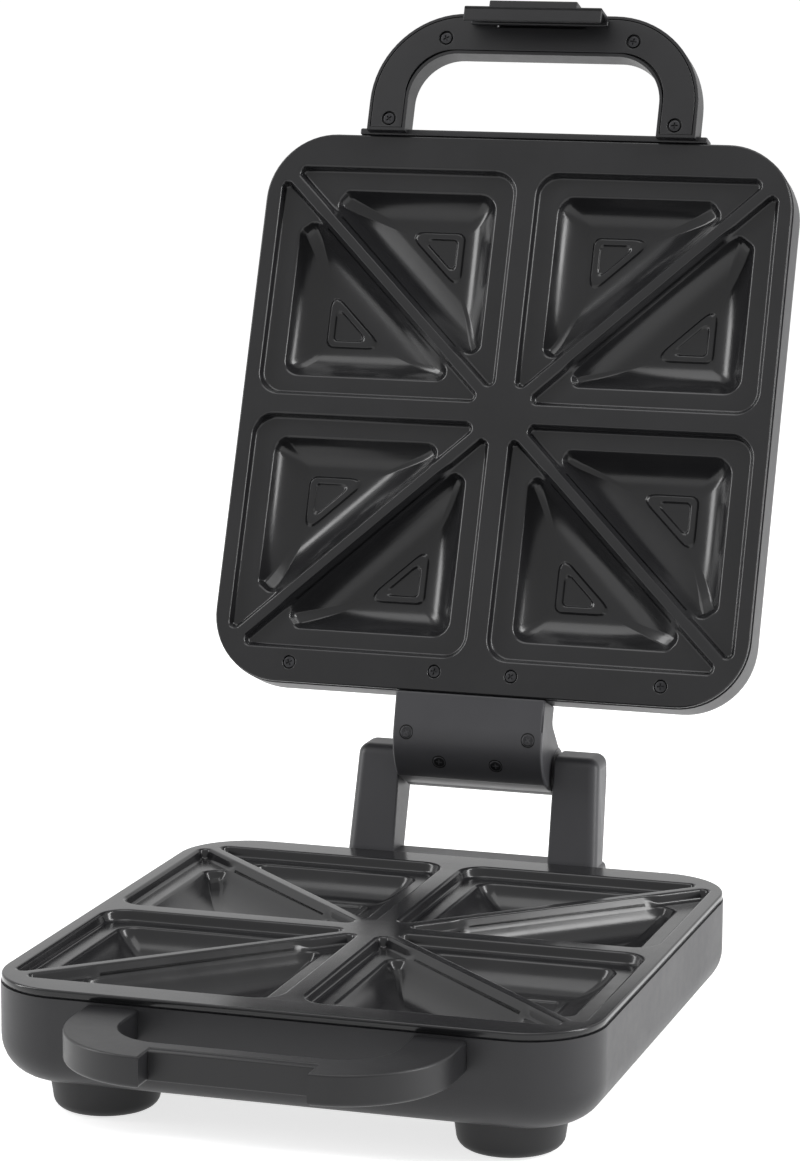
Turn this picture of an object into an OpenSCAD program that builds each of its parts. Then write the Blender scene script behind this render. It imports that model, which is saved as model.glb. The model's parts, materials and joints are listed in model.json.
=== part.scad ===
// Four-slice sandwich toaster with a hinged lid, shown with the lid open.
// Every piece is drawn in the closed position on the base frame: X across the hinge,
// Y from the front handle to the hinge, Z up, with z = 0 at the rims of the cooking plates.
// The lid, its handle and its latch are then turned about the hinge to the open position.

/* [Cooking plates] */
// Width of a cooking plate, across the hinge
plate_w = 251; // [236:1:280]
// Depth of a cooking plate, front to back
plate_d = 260; // [250:1:290]
// Corner radius of a cooking plate
plate_r = 32; // [20:1:40]
// Thickness of the flat rim of a plate
rim_t = 3.3; // [2.5:0.1:4.5]
// Gap between the two plates when the lid is closed
plate_gap = 0.6; // [0.4:0.1:2]
// Rim left outside the cooking pattern at each side
side_border = 5.5; // [4:0.5:10]
// Rim left outside the cooking pattern at the front and at the back
end_border = 14.5; // [12:0.5:18]
// Corner radius of each quarter of the pattern
quarter_r = 12; // [6:1:18]
// Width of the flat bars that make the cross
cross_w = 7; // [5:0.5:10]
// Depth of the shelf that holds the crust
shelf_drop = 4.5; // [3:0.5:6]
// Depth of a pocket below the shelf
pocket_drop = 11; // [6:0.5:12]
// Width of the shelf between a quarter's edge and its pockets
shelf_w = 10; // [8:0.5:12]
// Width of the flat top of a dividing ridge
ridge_w = 4.6; // [3:0.2:6]
// Distance from a ridge's centre line to the pocket beside it
ridge_reach = 5.3; // [4:0.1:7]
// Length cut from each sharp tip of a pocket
tip_cut = 14; // [8:1:18]
// Horizontal run of a pocket's sloping walls
pocket_run = 13; // [8:0.5:16]
// Wall thickness of the cast plate
plate_wall = 2.4; // [2:0.1:3]

/* [Heater] */
// Radius of the heating tube's loop
heater_loop_r = 90; // [86:1:94]
// Radius of the heating tube itself
heater_tube_r = 3.3; // [2.8:0.1:3.6]
// Distance of the plate's fixing bosses from its centre
boss_reach = 60; // [52:1:68]
// Radius of the fixing bosses
boss_r = 4; // [3.5:0.1:4.5]
// Gap left under the heating tube, down to the heat shield
shield_gap = 3.4; // [2:0.1:4]
// Distance from a plate's edge to the heat shield's edge
tray_margin = 19; // [18:0.5:30]
// Thickness of the sheet metal of the heat shield
shield_t = 1; // [0.6:0.1:1.2]
// Radius of the thermostat's can
thermostat_r = 8.5; // [7:0.5:10]

/* [Housings] */
// Height of the plate rims above the surface the toaster stands on
stand_h = 58; // [56:1:64]
// Height of the lower housing, from the rim's underside to its flat bottom
tub_h = 39; // [38:0.5:40]
// Radius of the lower housing's bottom edge
tub_edge_r = 17; // [12:1:20]
// Height of the lid housing, from the rim's underside to its flat top
lid_h = 36; // [35.5:0.5:44]
// Radius of the lid housing's top edge
lid_edge_r = 22; // [16:1:26]
// Wall thickness of the housings
shell_t = 2.6; // [2:0.1:3.2]
// How far a housing stands out beyond the plate's rim
shell_lip = 0.3; // [0.2:0.1:0.8]

/* [Feet] */
// Radius of a foot where it meets the housing
foot_top_r = 23.3; // [18:0.1:26]
// Radius of a foot above its rounded bottom edge
foot_low_r = 21.8; // [17:0.1:25]
// Radius of a foot's bottom edge
foot_edge_r = 5; // [3:0.5:8]
// Distance of the feet from the middle, to each side
foot_x = 85.4; // [75:0.1:92]
// Distance of the front feet from the middle, forwards
foot_front = 91.2; // [80:0.1:94]
// Distance of the rear feet from the middle, backwards
foot_back = 93; // [85:0.1:94]
// Radius of a rubber foot pad
pad_r = 14; // [10:0.5:15]
// How far a foot pad stands out below its foot
pad_proud = 0.6; // [0.5:0.1:2]

/* [Handles] */
// Width of the two handles
handle_w = 157; // [150:1:170]
// How far the handles reach out in front of the plates
handle_out = 58.4; // [52:0.2:70]
// Outer corner radius of the handles
handle_r = 43; // [30:1:50]
// Depth of the lower handle's grip, front to back
low_grip_d = 20.4; // [19:0.2:28]
// Width of each side bar of the lower handle
low_side_w = 22; // [20:0.5:28]
// Depth of the lid handle's grip, front to back
lid_grip_d = 19.4; // [18:0.2:26]
// Width of each side bar of the lid handle
lid_side_w = 18.5; // [17:0.5:24]
// Corner radius of the handles' windows
window_r = 22; // [10:1:26]
// Height of the lower handle
low_handle_h = 12.7; // [10:0.1:16]
// Gap from the plate rims down to the lower handle's top
low_handle_drop = 4.9; // [4.6:0.1:8]
// Height of the lid handle with its cover
lid_handle_h = 13.4; // [11:0.2:18]
// Gap between the closed handles
handle_gap = 0.5; // [0.3:0.1:2]
// Thickness of the lid handle's cover
cover_t = 3; // [2:0.2:4]
// Edge of the lid handle left around its cover
cover_inset = 1.6; // [1:0.1:3]
// Half width of the flange that joins the lid handle to the lid
flange_half = 83.1; // [80:0.1:90]
// Thickness of that flange
flange_t = 3; // [2:0.2:5]

/* [Latch] */
// Half width of the latch's hook
hook_half = 32.8; // [26:0.2:36]
// Half width of the latch's finger tab
tab_half = 21; // [15:0.5:24]
// Distance that the hook reaches below the plate rims
hook_drop = 20.5; // [20.2:0.1:24]
// Wall thickness of the hook
hook_t = 2.2; // [1.6:0.1:2.4]
// Depth of the hook, front to back
hook_d = 7; // [6:0.2:8]
// Depth of the catch recess in the lower handle
recess_d = 12.7; // [11:0.1:14]
// Distance that the catch rib stands out in the recess
catch_d = 2.8; // [2:0.2:4]
// Gap from the resting hook to the catch rib
catch_gap = 1.3; // [1:0.1:2]
// Height of the catch rib
catch_h = 8; // [6:0.2:8.6]
// Radius of the latch pin
latch_pin_r = 1.5; // [1:0.1:2]
// Height of the latch pin above the plate rims
latch_pin_z = 1.5; // [1:0.1:3]

/* [Hinge] */
// Angle that the open lid is turned back from closed
open_angle = 110.7; // [95:0.1:112]
// Distance from the plates' back edge to the hinge axis
hinge_back = 27.5; // [26:0.5:30]
// Height of the hinge axis above the plate rims
hinge_z = 36; // [35:0.5:38]
// Radius of the hinge shaft
shaft_r = 3; // [2.5:0.1:3.4]
// Radius of the hinge barrel
barrel_r = 11; // [9:0.5:12]
// Half width of the arm between the hinge posts
arm_half = 35; // [30:0.5:40]
// Gap from the arm to each hinge post
arm_gap = 1.3; // [0.5:0.1:2]
// Width of a hinge post at its top
post_w = 20.4; // [18:0.2:24]
// How much wider a post is at its foot
post_flare = 2; // [0:0.5:4]
// Height of the posts above the plate rims
post_h = 45; // [44.5:0.5:50]
// Rounding of a post's front and top edges
post_edge_r = 5; // [3:0.5:6]
// Rounding of a post's back edges
post_back_r = 3; // [2:0.5:4]
// Wall thickness of a hinge bush
bush_t = 1.4; // [1:0.1:1.6]
// Radial running clearance of the pins
pin_clear = 0.05; // [0.02:0.01:0.08]

/* [Screws] */
// Shank radius of the visible cover screws
screw_r = 1.4; // [1.2:0.1:1.6]
// Head radius of the visible cover screws
screw_head_r = 2.7; // [2.4:0.1:3]
// Head height of the visible cover screws
screw_head_h = 1.6; // [1.2:0.1:2]
// Shank radius of the hidden housing screws
bolt_r = 1.9; // [1.6:0.1:2]
// Head radius of the hidden housing screws
bolt_head_r = 3.4; // [3:0.1:3.6]
// Head height of the hidden housing screws
bolt_head_h = 2.2; // [1.8:0.1:2.6]
// Depth that a hidden housing screw reaches into the piece it holds
bolt_grip = 12; // [8:0.5:14]

/* [Hidden] */

$fn = 64;
hair = 0.01;                       // lets cutters pass their faces
half_w = plate_w / 2;
half_d = plate_d / 2;
hinge_y = half_d + hinge_back;
handle_reach = half_d + handle_out;
low_window_w = handle_w - 2 * low_side_w;
low_window_reach = handle_reach - low_grip_d;
lid_window_w = handle_w - 2 * lid_side_w;
lid_window_reach = handle_reach - lid_grip_d;
shell_half_w = half_w + shell_lip;
shell_half_d = half_d + shell_lip;
shell_r = plate_r + shell_lip;
quarter_w = (plate_w - 2 * side_border - cross_w) / 2;
quarter_d = (plate_d - 2 * end_border - cross_w) / 2;
heater_gap = 0.2;                                 // between the heating tube and the pockets over it
deck_t = shelf_drop + plate_wall;                 // from the rim's top to the shelf's underside
pan_t = shelf_drop + pocket_drop + plate_wall;    // from the rim's top to a pocket's underside
heater_z = -(pan_t + heater_tube_r + heater_gap);
shield_z = heater_z - heater_tube_r - shield_gap; // top face of the heat shield
tub_floor = -(rim_t + tub_h);
tub_inner = tub_floor + shell_t;
lid_top = rim_t + lid_h;
lid_rise = plate_gap;                             // height of the closed lid's plate over the base's
bolt_clear = 0.3;                                 // play of a screw in a plain hole
plate_post_r = 4;                                 // posts in the lid that take the plate screws
plate_post_h = 24;
gland_r = 5.5;
gland_bore_r = 3.6;
gland_play = 0.15;
gland_x = half_w - 37.5;
gland_z = -14;

// Front faces and heights of the two handles
low_top = -low_handle_drop;
low_bottom = low_top - low_handle_h;
lid_face = low_top + handle_gap;                  // underside of the closed lid handle's cover
lid_handle_top = lid_face + lid_handle_h;
catch_front = recess_d - catch_d;                 // depth from the handle's front to the catch rib
recess_half = hook_half + 0.8;
hook_gap = 1.1;                                   // from the lid handle down to the latch's hook

// The latch, closed
hook_back = handle_reach - recess_d + catch_d + catch_gap;
hook_front = hook_back + hook_d;
tab_front = handle_reach + 1.2;
pin_y = -(handle_reach - 6);
notch_half = tab_half + 0.8;
notch_back = handle_reach - 11.5;
notch_top = lid_handle_top - 2.2;
latch_top = latch_pin_z + 3.4;
stem_back = handle_reach - 9;
pin_len = 2 * tab_half + 9;
cover_play = 0.15;                                // round the lid handle's cover
pad_seat = 1.2;                                   // depth of the seat that holds a foot pad
root_clear = 0.8;                                 // from the lower plate's edge to the closed lid handle

// Hinge bracket
post_in = arm_half + arm_gap;
post_out = post_in + post_w;
bracket_front = shell_half_d;
bracket_low = tub_floor + tub_edge_r - 5;
web_top = -2.5;
post_front_low = half_d + 6.3;
post_lean = 9.5;                                  // how far a post's front leans back on its height
bracket_back = half_d + 23;
post_back = hinge_y + 8;
bush_r = shaft_r + bush_t;
bush_len = 12;

// Hinge arm
arm_low = 2.6;
arm_high = 20;
arm_front = shell_half_d;
nose_r = 24.3;
nose_y = hinge_y + barrel_r + 0.3 - nose_r;
arm_slope = 1.6;                                  // how much lower the arm starts at the lid
nose_z = arm_low + nose_r;
arm_skin = 3;
cover_end = 70;                                   // angle on the nose where the arm's cover ends

// Plate screws in the lid's rear border, and the cover screws
plate_screw_xs = [-87.2, -18, 18, 87.2];
plate_screw_y = half_d - 9;
cover_screw_spots = [
    [-44.9, -(handle_reach - 12)], [44.9, -(handle_reach - 12)],
    [-(handle_w / 2 - 0.55 * lid_side_w), -(half_d + 6.8)], [handle_w / 2 - 0.55 * lid_side_w, -(half_d + 6.8)]
];
arm_screw_upper = [28.5, 10.5];                   // from the middle, and the angle on the nose
arm_screw_lower = [13.3, 42];
bracket_bolt_x = 47;
handle_bolt_x = (handle_w + low_window_w) / 4;
mid_y = (rear_reach() - handle_reach) / 2;        // middle of the whole object, front to back

// Farthest point back of the open lid, on its rounded top front edge
function rear_reach() =
    hinge_y - (shell_half_d - lid_edge_r + hinge_y) * cos(open_angle)
    + (lid_top - lid_edge_r - hinge_z) * sin(open_angle) + lid_edge_r;

// ------------------------------------------------------------ shared shapes

module rounded_rect(w, d, r) {
    offset(r) square([w - 2 * r, d - 2 * r], center = true);
}

// Housing shape: rounded plan, open face at z = 0, edge rounded at z = h
module housing_block(hw, hd, r, h, edge) {
    hull()
        for (sx = [-1, 1], sy = [-1, 1])
            translate([sx * (hw - r), sy * (hd - r), 0])
                rotate_extrude($fn = 40)
                    intersection() {
                        offset(edge, $fn = 32) offset(-edge) square([2 * r, 2 * h], center = true);
                        square([r, h]);
                    }
}

// Pocket outline of a quarter that measures a by b from the centre of the cross
module pocket_outline(a, b) {
    rise = ridge_reach / cos(atan2(b, a));
    far_x = (b - shelf_w - rise) * a / b;
    near_y = shelf_w * b / a + rise;
    slope_x = cos(atan2(b, a)) * tip_cut;
    slope_y = sin(atan2(b, a)) * tip_cut;
    offset(1.5, $fn = 20) offset(-1.5)
        polygon([
            [shelf_w, near_y + tip_cut],
            [shelf_w, b - shelf_w - 5],
            [shelf_w + 1.5, b - shelf_w - 1.5],
            [shelf_w + 5, b - shelf_w],
            [far_x - tip_cut, b - shelf_w],
            [far_x - slope_x, b - shelf_w - slope_y],
            [shelf_w + slope_x, near_y + slope_y]
        ]);
}

// Radius of the circle that fits in the uncut pocket triangle
function pocket_in_r(a, b) =
    let (rise = ridge_reach / cos(atan2(b, a)))
    let (leg_x = (b - shelf_w - rise) * a / b - shelf_w)
    let (leg_y = b - shelf_w - (shelf_w * b / a + rise))
    (leg_x + leg_y - norm([leg_x, leg_y])) / 2;

// One pocket as a tapered block that starts at z = 0 and goes down
module pocket_block(a, b, drop, grow) {
    in_r = pocket_in_r(a, b);
    centre = [shelf_w + in_r, b - shelf_w - in_r];
    translate([centre[0], centre[1], 0])
        mirror([0, 0, 1])
            linear_extrude(drop, scale = (in_r - pocket_run + grow) / (in_r + grow))
                offset(delta = grow) translate(-centre) pocket_outline(a, b);
}

// Both pockets of one quarter
module quarter_pockets(drop, grow) {
    pocket_block(quarter_w, quarter_d, drop, grow);
    mirror([1, -1, 0]) pocket_block(quarter_d, quarter_w, drop, grow);
}

// Puts its children in each quarter of a plate
module quarters() {
    for (sx = [0, 1], sy = [0, 1])
        mirror([sx, 0, 0]) mirror([0, sy, 0])
            translate([cross_w / 2, cross_w / 2, 0]) children();
}

module quarter_recess() {
    linear_extrude(shelf_drop + hair)
        difference() {
            translate([quarter_w / 2, quarter_d / 2]) rounded_rect(quarter_w, quarter_d, quarter_r);
            rotate(atan2(quarter_d, quarter_w))
                translate([0, -ridge_w / 2]) square([norm([quarter_w, quarter_d]), ridge_w]);
        }
}

// Fixing bosses under a plate, on the arms of the cross
module on_bosses() {
    for (turn = [0:90:270]) rotate(turn) translate([boss_reach, 0, 0]) children();
}

// Cast plate with its cooking face up at z = 0
module plate_body() {
    difference() {
        union() {
            translate([0, 0, -rim_t]) linear_extrude(rim_t) rounded_rect(plate_w, plate_d, plate_r);
            translate([0, 0, -deck_t])
                linear_extrude(deck_t)
                    rounded_rect(plate_w - 2 * side_border + plate_wall, plate_d - 2 * end_border + plate_wall,
                                 quarter_r + plate_wall / 2);
            quarters() translate([0, 0, -shelf_drop]) quarter_pockets(pocket_drop + plate_wall, plate_wall);
            on_bosses()
                translate([0, 0, shield_z]) cylinder(h = -shield_z - shelf_drop, r = boss_r);
        }
        quarters() {
            translate([0, 0, -shelf_drop]) quarter_recess();
            translate([0, 0, -shelf_drop + hair]) quarter_pockets(pocket_drop + hair, 0);
        }
        on_bosses() translate([0, 0, shield_z - hair]) cylinder(h = 9, r = bolt_r);
    }
}

// Tubular heater: a loop with two straight legs at the back
module heater() {
    gap_angle = 12;
    leg_x = heater_loop_r * sin(gap_angle);
    leg_y = heater_loop_r * cos(gap_angle);
    translate([0, 0, heater_z]) {
        rotate(90 + gap_angle)
            rotate_extrude(angle = 360 - 2 * gap_angle, $fn = 96)
                translate([heater_loop_r, 0]) circle(heater_tube_r, $fn = 32);
        for (side = [-1, 1])
            translate([side * leg_x, leg_y, 0]) {
                sphere(heater_tube_r + 0.15);
                rotate([-90, 0, 0]) cylinder(h = 13, r = heater_tube_r - 0.1);
                rotate([-90, 0, 0]) cylinder(h = 18, r = 1.4);
            }
    }
}

// Clamp blocks that hold the heating tube to the plate's deck
module heater_clamps() {
    foot = heater_z - heater_tube_r - 2;
    for (turn = [0, 180, 270])
        rotate(turn)
            difference() {
                translate([heater_loop_r - 6, -3.5, foot]) cube([12, 7, -foot - deck_t]);
                translate([heater_loop_r, 0, heater_z])
                    rotate([90, 0, 0]) cylinder(h = 8, r = heater_tube_r + 0.25, center = true);
            }
}

// Pressed tray that sits between the heater and the housing
module heat_shield() {
    lip_h = 9;
    tray_w = plate_w - 2 * tray_margin;
    tray_d = plate_d - 2 * tray_margin;
    difference() {
        translate([0, 0, shield_z - shield_t])
            linear_extrude(lip_h) rounded_rect(tray_w, tray_d, plate_r - 8);
        translate([0, 0, shield_z])
            linear_extrude(lip_h)
                rounded_rect(tray_w - 2 * shield_t, tray_d - 2 * shield_t, plate_r - 8 - shield_t);
        on_bosses()
            translate([0, 0, shield_z - shield_t - hair])
                cylinder(h = shield_t + 2 * hair, r = bolt_r + bolt_clear);
    }
}

// Cylindrical cut-out fuse in its sleeve, lying under an arm of the cross
module thermal_fuse() {
    translate([18, 0, -deck_t - 3])
        rotate([0, 90, 0]) cylinder(h = 30, r = 2.2);
    translate([26, -3.5, -deck_t - 5.6]) {
        difference() {
            cube([8, 7, 5.6]);
            translate([-hair, 3.5, 2.6]) rotate([0, 90, 0]) cylinder(h = 8 + 2 * hair, r = 2.2);
        }
    }
}

// Cross-head screw: head at z = 0 and up, shank down
module cross_screw(shank) {
    difference() {
        union() {
            cylinder(h = screw_head_h, r = screw_head_r);
            translate([0, 0, -shank]) cylinder(h = shank + hair, r = screw_r);
        }
        for (turn = [0, 90])
            rotate(turn)
                translate([-screw_head_r * 0.55, -0.35, screw_head_h - 0.9])
                    cube([screw_head_r * 1.1, 0.7, 1]);
    }
}

// Pan-head bolt: head at z = 0 and up, shank down
module pan_bolt(shank) {
    cylinder(h = bolt_head_h, r = bolt_head_r);
    translate([0, 0, -shank]) cylinder(h = shank + hair, r = bolt_r);
}

// D-shaped plan of a handle: flat towards the housing, rounded at the front
module handle_plan(half, reach, r, back) {
    intersection() {
        translate([0, -reach / 2])
            offset(r) square([2 * (half - r), 2 * (reach / 2 - r)], center = true);
        translate([-half, -reach]) square([2 * half, reach - back]);
    }
}

// Turns the closed lid's pieces to the open position
module lid_pose() {
    stand()
        translate([0, hinge_y, hinge_z])
            rotate([-open_angle, 0, 0])
                translate([0, -hinge_y, -hinge_z]) children();
}

// Puts the base frame on the surface, with the object's middle over the origin
module stand() {
    translate([0, -mid_y, stand_h]) children();
}

// Puts a plate part of the lid, drawn as for the base, over the base
module lid_side() {
    lid_pose() translate([0, 0, lid_rise]) mirror([0, 0, 1]) children();
}

// ------------------------------------------------------------ base

module column_spots() {
    on_bosses() children();
}

module foot_spots() {
    for (side = [-1, 1]) {
        translate([side * foot_x, -foot_front, 0]) children();
        translate([side * foot_x, foot_back, 0]) children();
    }
}

module lower_bolt_spots() {
    for (side = [-1, 1])
        translate([side * handle_bolt_x, -shell_half_d, low_top - low_handle_h / 2])
            rotate([-90, 0, 0]) children();
}

module bracket_bolt_spots() {
    for (side = [-1, 1], z = [-10, -22])
        translate([side * bracket_bolt_x, shell_half_d, z]) rotate([90, 0, 0]) children();
}

module base_housing() {
    color("#2c2c2f") stand() {
        difference() {
            union() {
                difference() {
                    translate([0, 0, -rim_t]) mirror([0, 0, 1])
                        housing_block(shell_half_w, shell_half_d, shell_r, tub_h, tub_edge_r);
                    translate([0, 0, -rim_t + hair]) mirror([0, 0, 1])
                        housing_block(shell_half_w - shell_t, shell_half_d - shell_t, shell_r - shell_t,
                                      tub_h - shell_t + hair, tub_edge_r - shell_t);
                }
                column_spots()
                    translate([0, 0, tub_inner - hair])
                        cylinder(h = shield_z - shield_t - tub_inner + hair, r = boss_r + 1.5);
            }
            column_spots() {
                translate([0, 0, tub_floor - hair]) cylinder(h = tub_h, r = bolt_r + bolt_clear);
                translate([0, 0, tub_floor - hair])
                    cylinder(h = bolt_head_h + 1 + hair, r = bolt_head_r + bolt_clear);
            }
            foot_spots()
                translate([0, 0, tub_floor - hair]) cylinder(h = shell_t + 1, r = bolt_r + bolt_clear);
            lower_bolt_spots() translate([0, 0, -1]) cylinder(h = shell_t + 2, r = bolt_r + bolt_clear);
            bracket_bolt_spots() translate([0, 0, -1]) cylinder(h = shell_t + 2, r = bolt_r + bolt_clear);
            translate([gland_x, shell_half_d + 1, gland_z]) rotate([90, 0, 0])
                cylinder(h = shell_t + 2, r = gland_r + gland_play);
        }
    }
}

module base_plate() {
    color("#3a3a3c") stand() plate_body();
}

module base_plate_screws() {
    color("silver") stand()
        column_spots()
            translate([0, 0, tub_floor + bolt_head_h + 1]) mirror([0, 0, 1])
                pan_bolt(shield_z + 8 - (tub_floor + bolt_head_h + 1));
}

module base_heater() {
    color("#6d6a66") stand() heater();
}

module base_heater_clamps() {
    color("silver") stand() heater_clamps();
}

module base_heat_shield() {
    color("#b9bbbd") stand() heat_shield();
}

module thermostat() {
    can_h = 9;
    color("#d8d2c0") stand() {
        translate([0, 0, -deck_t - can_h]) cylinder(h = can_h, r = thermostat_r);
        translate([0, 0, -deck_t - can_h - 3]) cylinder(h = 3 + hair, r = thermostat_r - 2);
        for (side = [-1, 1])
            translate([side * 3.5 - 0.4, -3, -deck_t - can_h - 7]) cube([0.8, 6, 4 + hair]);
    }
}

module base_thermal_fuse() {
    color("#e8e2d0") stand() thermal_fuse();
}

module terminal_block() {
    block_w = 34;
    block_d = 15;
    color("#e6e3da") stand()
        translate([gland_x - block_w - 24, half_d - 46, tub_inner])
            difference() {
                cube([block_w, block_d, 9]);
                for (step = [0:2])
                    translate([6 + 11 * step, block_d / 2, 6.6]) cylinder(h = 3, r = 2.2);
                for (step = [0:2])
                    translate([6 + 11 * step, -hair, 3.4]) rotate([-90, 0, 0])
                        cylinder(h = block_d + 2 * hair, r = 1.5);
            }
}

module cord_gland() {
    collar_t = 2.5;
    color("#1c1c1d") stand()
        translate([gland_x, shell_half_d, gland_z]) rotate([-90, 0, 0])
            difference() {
                union() {
                    translate([0, 0, -shell_t]) cylinder(h = shell_t + collar_t, r = gland_r);
                    cylinder(h = collar_t, r = gland_r + 2.5);
                    cylinder(h = collar_t + 6, r = gland_r - 0.4);
                    translate([0, 0, -shell_t - collar_t]) cylinder(h = collar_t, r = gland_r + 1.5);
                }
                translate([0, 0, -shell_t - collar_t - hair])
                    cylinder(h = shell_t + 2 * collar_t + 6 + 2 * hair, r = gland_bore_r);
            }
}

module feet() {
    foot_h = stand_h + tub_floor - pad_proud;
    color("#232325") stand()
        foot_spots()
            translate([0, 0, tub_floor - foot_h])
                difference() {
                    rotate_extrude()
                        polygon(concat(
                            [[0, 0], [foot_low_r - foot_edge_r, 0]],
                            [for (turn = [15:15:75])
                                [foot_low_r - foot_edge_r + foot_edge_r * sin(turn),
                                 foot_edge_r - foot_edge_r * cos(turn)]],
                            [[foot_low_r, foot_edge_r], [foot_top_r, foot_h], [0, foot_h]]
                        ));
                    translate([0, 0, -hair]) cylinder(h = pad_seat + hair, r = pad_r + 0.15);
                    translate([0, 0, 4]) cylinder(h = foot_h, r = bolt_r);
                }
}

module foot_pads() {
    color("#171717") stand()
        foot_spots() translate([0, 0, -stand_h]) cylinder(h = pad_seat + pad_proud, r = pad_r);
}

module foot_screws() {
    color("silver") stand()
        foot_spots() translate([0, 0, tub_inner]) pan_bolt(10);
}

module lower_handle() {
    color("#38383b") stand()
        difference() {
            translate([0, 0, low_bottom])
                linear_extrude(low_handle_h)
                    difference() {
                        handle_plan(handle_w / 2, handle_reach, handle_r, shell_half_d);
                        handle_plan(low_window_w / 2, low_window_reach, window_r, shell_half_d - hair);
                    }
            translate([-recess_half, -handle_reach - 1, low_bottom - hair])
                cube([2 * recess_half, catch_front + 1, low_handle_h + 2 * hair]);
            translate([-recess_half, -handle_reach - 1, low_bottom + catch_h])
                cube([2 * recess_half, recess_d + 1, low_handle_h]);
            lower_bolt_spots() translate([0, 0, -bolt_grip - 1]) cylinder(h = bolt_grip + 2, r = bolt_r);
        }
}

module lower_handle_screws() {
    color("silver") stand()
        lower_bolt_spots() translate([0, 0, shell_t]) pan_bolt(shell_t + bolt_grip);
}

// Half width of the bracket at a height, wider towards its foot
function post_reach(z) = post_out + post_flare * (post_h - z) / post_h;

// Front face of the posts at a height
function post_front(z) = post_front_low + post_lean * z / post_h;

// Right-hand post, down to the web
module post() {
    low = web_top - 1;
    top = post_h - post_edge_r;
    hull() {
        translate([post_reach(low) - post_edge_r, post_front(low) + post_edge_r, low])
            cylinder(h = 1, r = post_edge_r, $fn = 32);
        translate([post_reach(low) - post_back_r, bracket_back - post_back_r, low])
            cylinder(h = 1, r = post_back_r, $fn = 32);
        translate([post_in, post_front(low), low]) cube([5, bracket_back - post_front(low), 1]);
        translate([post_reach(hinge_z) - post_back_r, post_back - post_back_r, hinge_z - 3])
            cylinder(h = 1, r = post_back_r, $fn = 32);
        translate([post_in, post_back - 4, hinge_z - 3]) cube([5, 4, 1]);
        for (y = [post_front(top) + post_edge_r, post_back - post_edge_r]) {
            translate([post_reach(top) - post_edge_r, y, top]) sphere(post_edge_r, $fn = 32);
            translate([post_in, y, top]) rotate([0, 90, 0]) cylinder(h = 5, r = post_edge_r, $fn = 32);
        }
    }
}

// Block behind the lower housing that carries both posts
module bracket_block() {
    half = post_reach(bracket_low);
    depth = bracket_back - bracket_front;
    translate([0, bracket_front, bracket_low])
        linear_extrude(web_top - bracket_low)
            intersection() {
                translate([0, depth - half]) rounded_rect(2 * half, 2 * half, post_back_r);
                translate([-half, 0]) square([2 * half, depth]);
            }
}

// Rounded inner corner between the web and the right-hand post
module web_fillet() {
    r = 3;
    translate([post_in - r, bracket_back - 0.5, web_top - hair]) rotate([90, 0, 0])
        linear_extrude(bracket_back - post_front(0) - 0.5)
            difference() {
                square([r + hair, r]);
                translate([0, r]) circle(r);
            }
}

// Side view of the hollow inside the bracket, open at the bottom
module bracket_core() {
    polygon([
        [bracket_front + shell_t, bracket_low - 1], [bracket_front + shell_t, web_top - shell_t],
        [post_front(0) + shell_t + 1, web_top - shell_t], [post_front(post_h) + 4, post_h - 5],
        [post_back - 5, post_h - 5], [post_back - shell_t - 0.6, hinge_z - 4],
        [bracket_back - shell_t - 0.6, web_top], [bracket_back - shell_t - 0.6, bracket_low - 1]
    ]);
}

module hinge_bracket() {
    color("#3c3c40") stand()
        difference() {
            union() {
                bracket_block();
                for (side = [0, 1])
                    mirror([side, 0, 0]) {
                        post();
                        web_fillet();
                    }
            }
            difference() {
                rotate([90, 0, 90]) {
                    for (side = [-1, 1])
                        translate([0, 0, side * (post_in + post_out) / 2])
                            linear_extrude(post_w - 2 * shell_t, center = true) bracket_core();
                    linear_extrude(2 * post_in - 2 * shell_t, center = true)
                        intersection() {
                            bracket_core();
                            translate([bracket_front, bracket_low - 2])
                                square([bracket_back - bracket_front, web_top - shell_t - bracket_low + 2]);
                        }
                }
                translate([0, hinge_y, hinge_z]) rotate([0, 90, 0])
                    cylinder(h = 4 * post_out, r = bush_r + 2.2, center = true);
                bracket_bolt_spots() translate([0, 0, -bolt_grip - 2]) cylinder(h = bolt_grip + 8, r = bolt_r + 2);
            }
            translate([-post_in - bush_len, hinge_y, hinge_z]) rotate([0, 90, 0])
                cylinder(h = 2 * (post_in + bush_len), r = bush_r);
            bracket_bolt_spots() translate([0, 0, -bolt_grip - 1]) cylinder(h = bolt_grip + 2, r = bolt_r);
        }
}

module bracket_screws() {
    color("silver") stand()
        bracket_bolt_spots() translate([0, 0, shell_t]) pan_bolt(shell_t + bolt_grip);
}

module hinge_bushes() {
    color("#b08d4a") stand()
        for (side = [-1, 1])
            translate([side * (post_in + bush_len / 2), hinge_y, hinge_z]) rotate([0, 90, 0])
                difference() {
                    cylinder(h = bush_len, r = bush_r, center = true);
                    cylinder(h = bush_len + 2 * hair, r = shaft_r + pin_clear, center = true);
                }
}

// ------------------------------------------------------------ lid

module lens_spots(side) {
    translate([side * 14, -(half_d - 34), lid_top - shell_t]) children();
}

module lid_screw_spots() {
    for (side = [-1, 1], step = [-5, 5])
        translate([side * (handle_w - lid_side_w) / 2 + step, -shell_half_d, rim_t + lid_rise + screw_head_r + 0.3])
            rotate([-90, 0, 0]) children();
}

module arm_bolt_spots() {
    for (side = [-1, 1])
        translate([side * (arm_half - 9), shell_half_d, (arm_low + arm_high) / 2]) rotate([90, 0, 0]) children();
}

module standoff_spots() {
    on_bosses() children();
}

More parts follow.
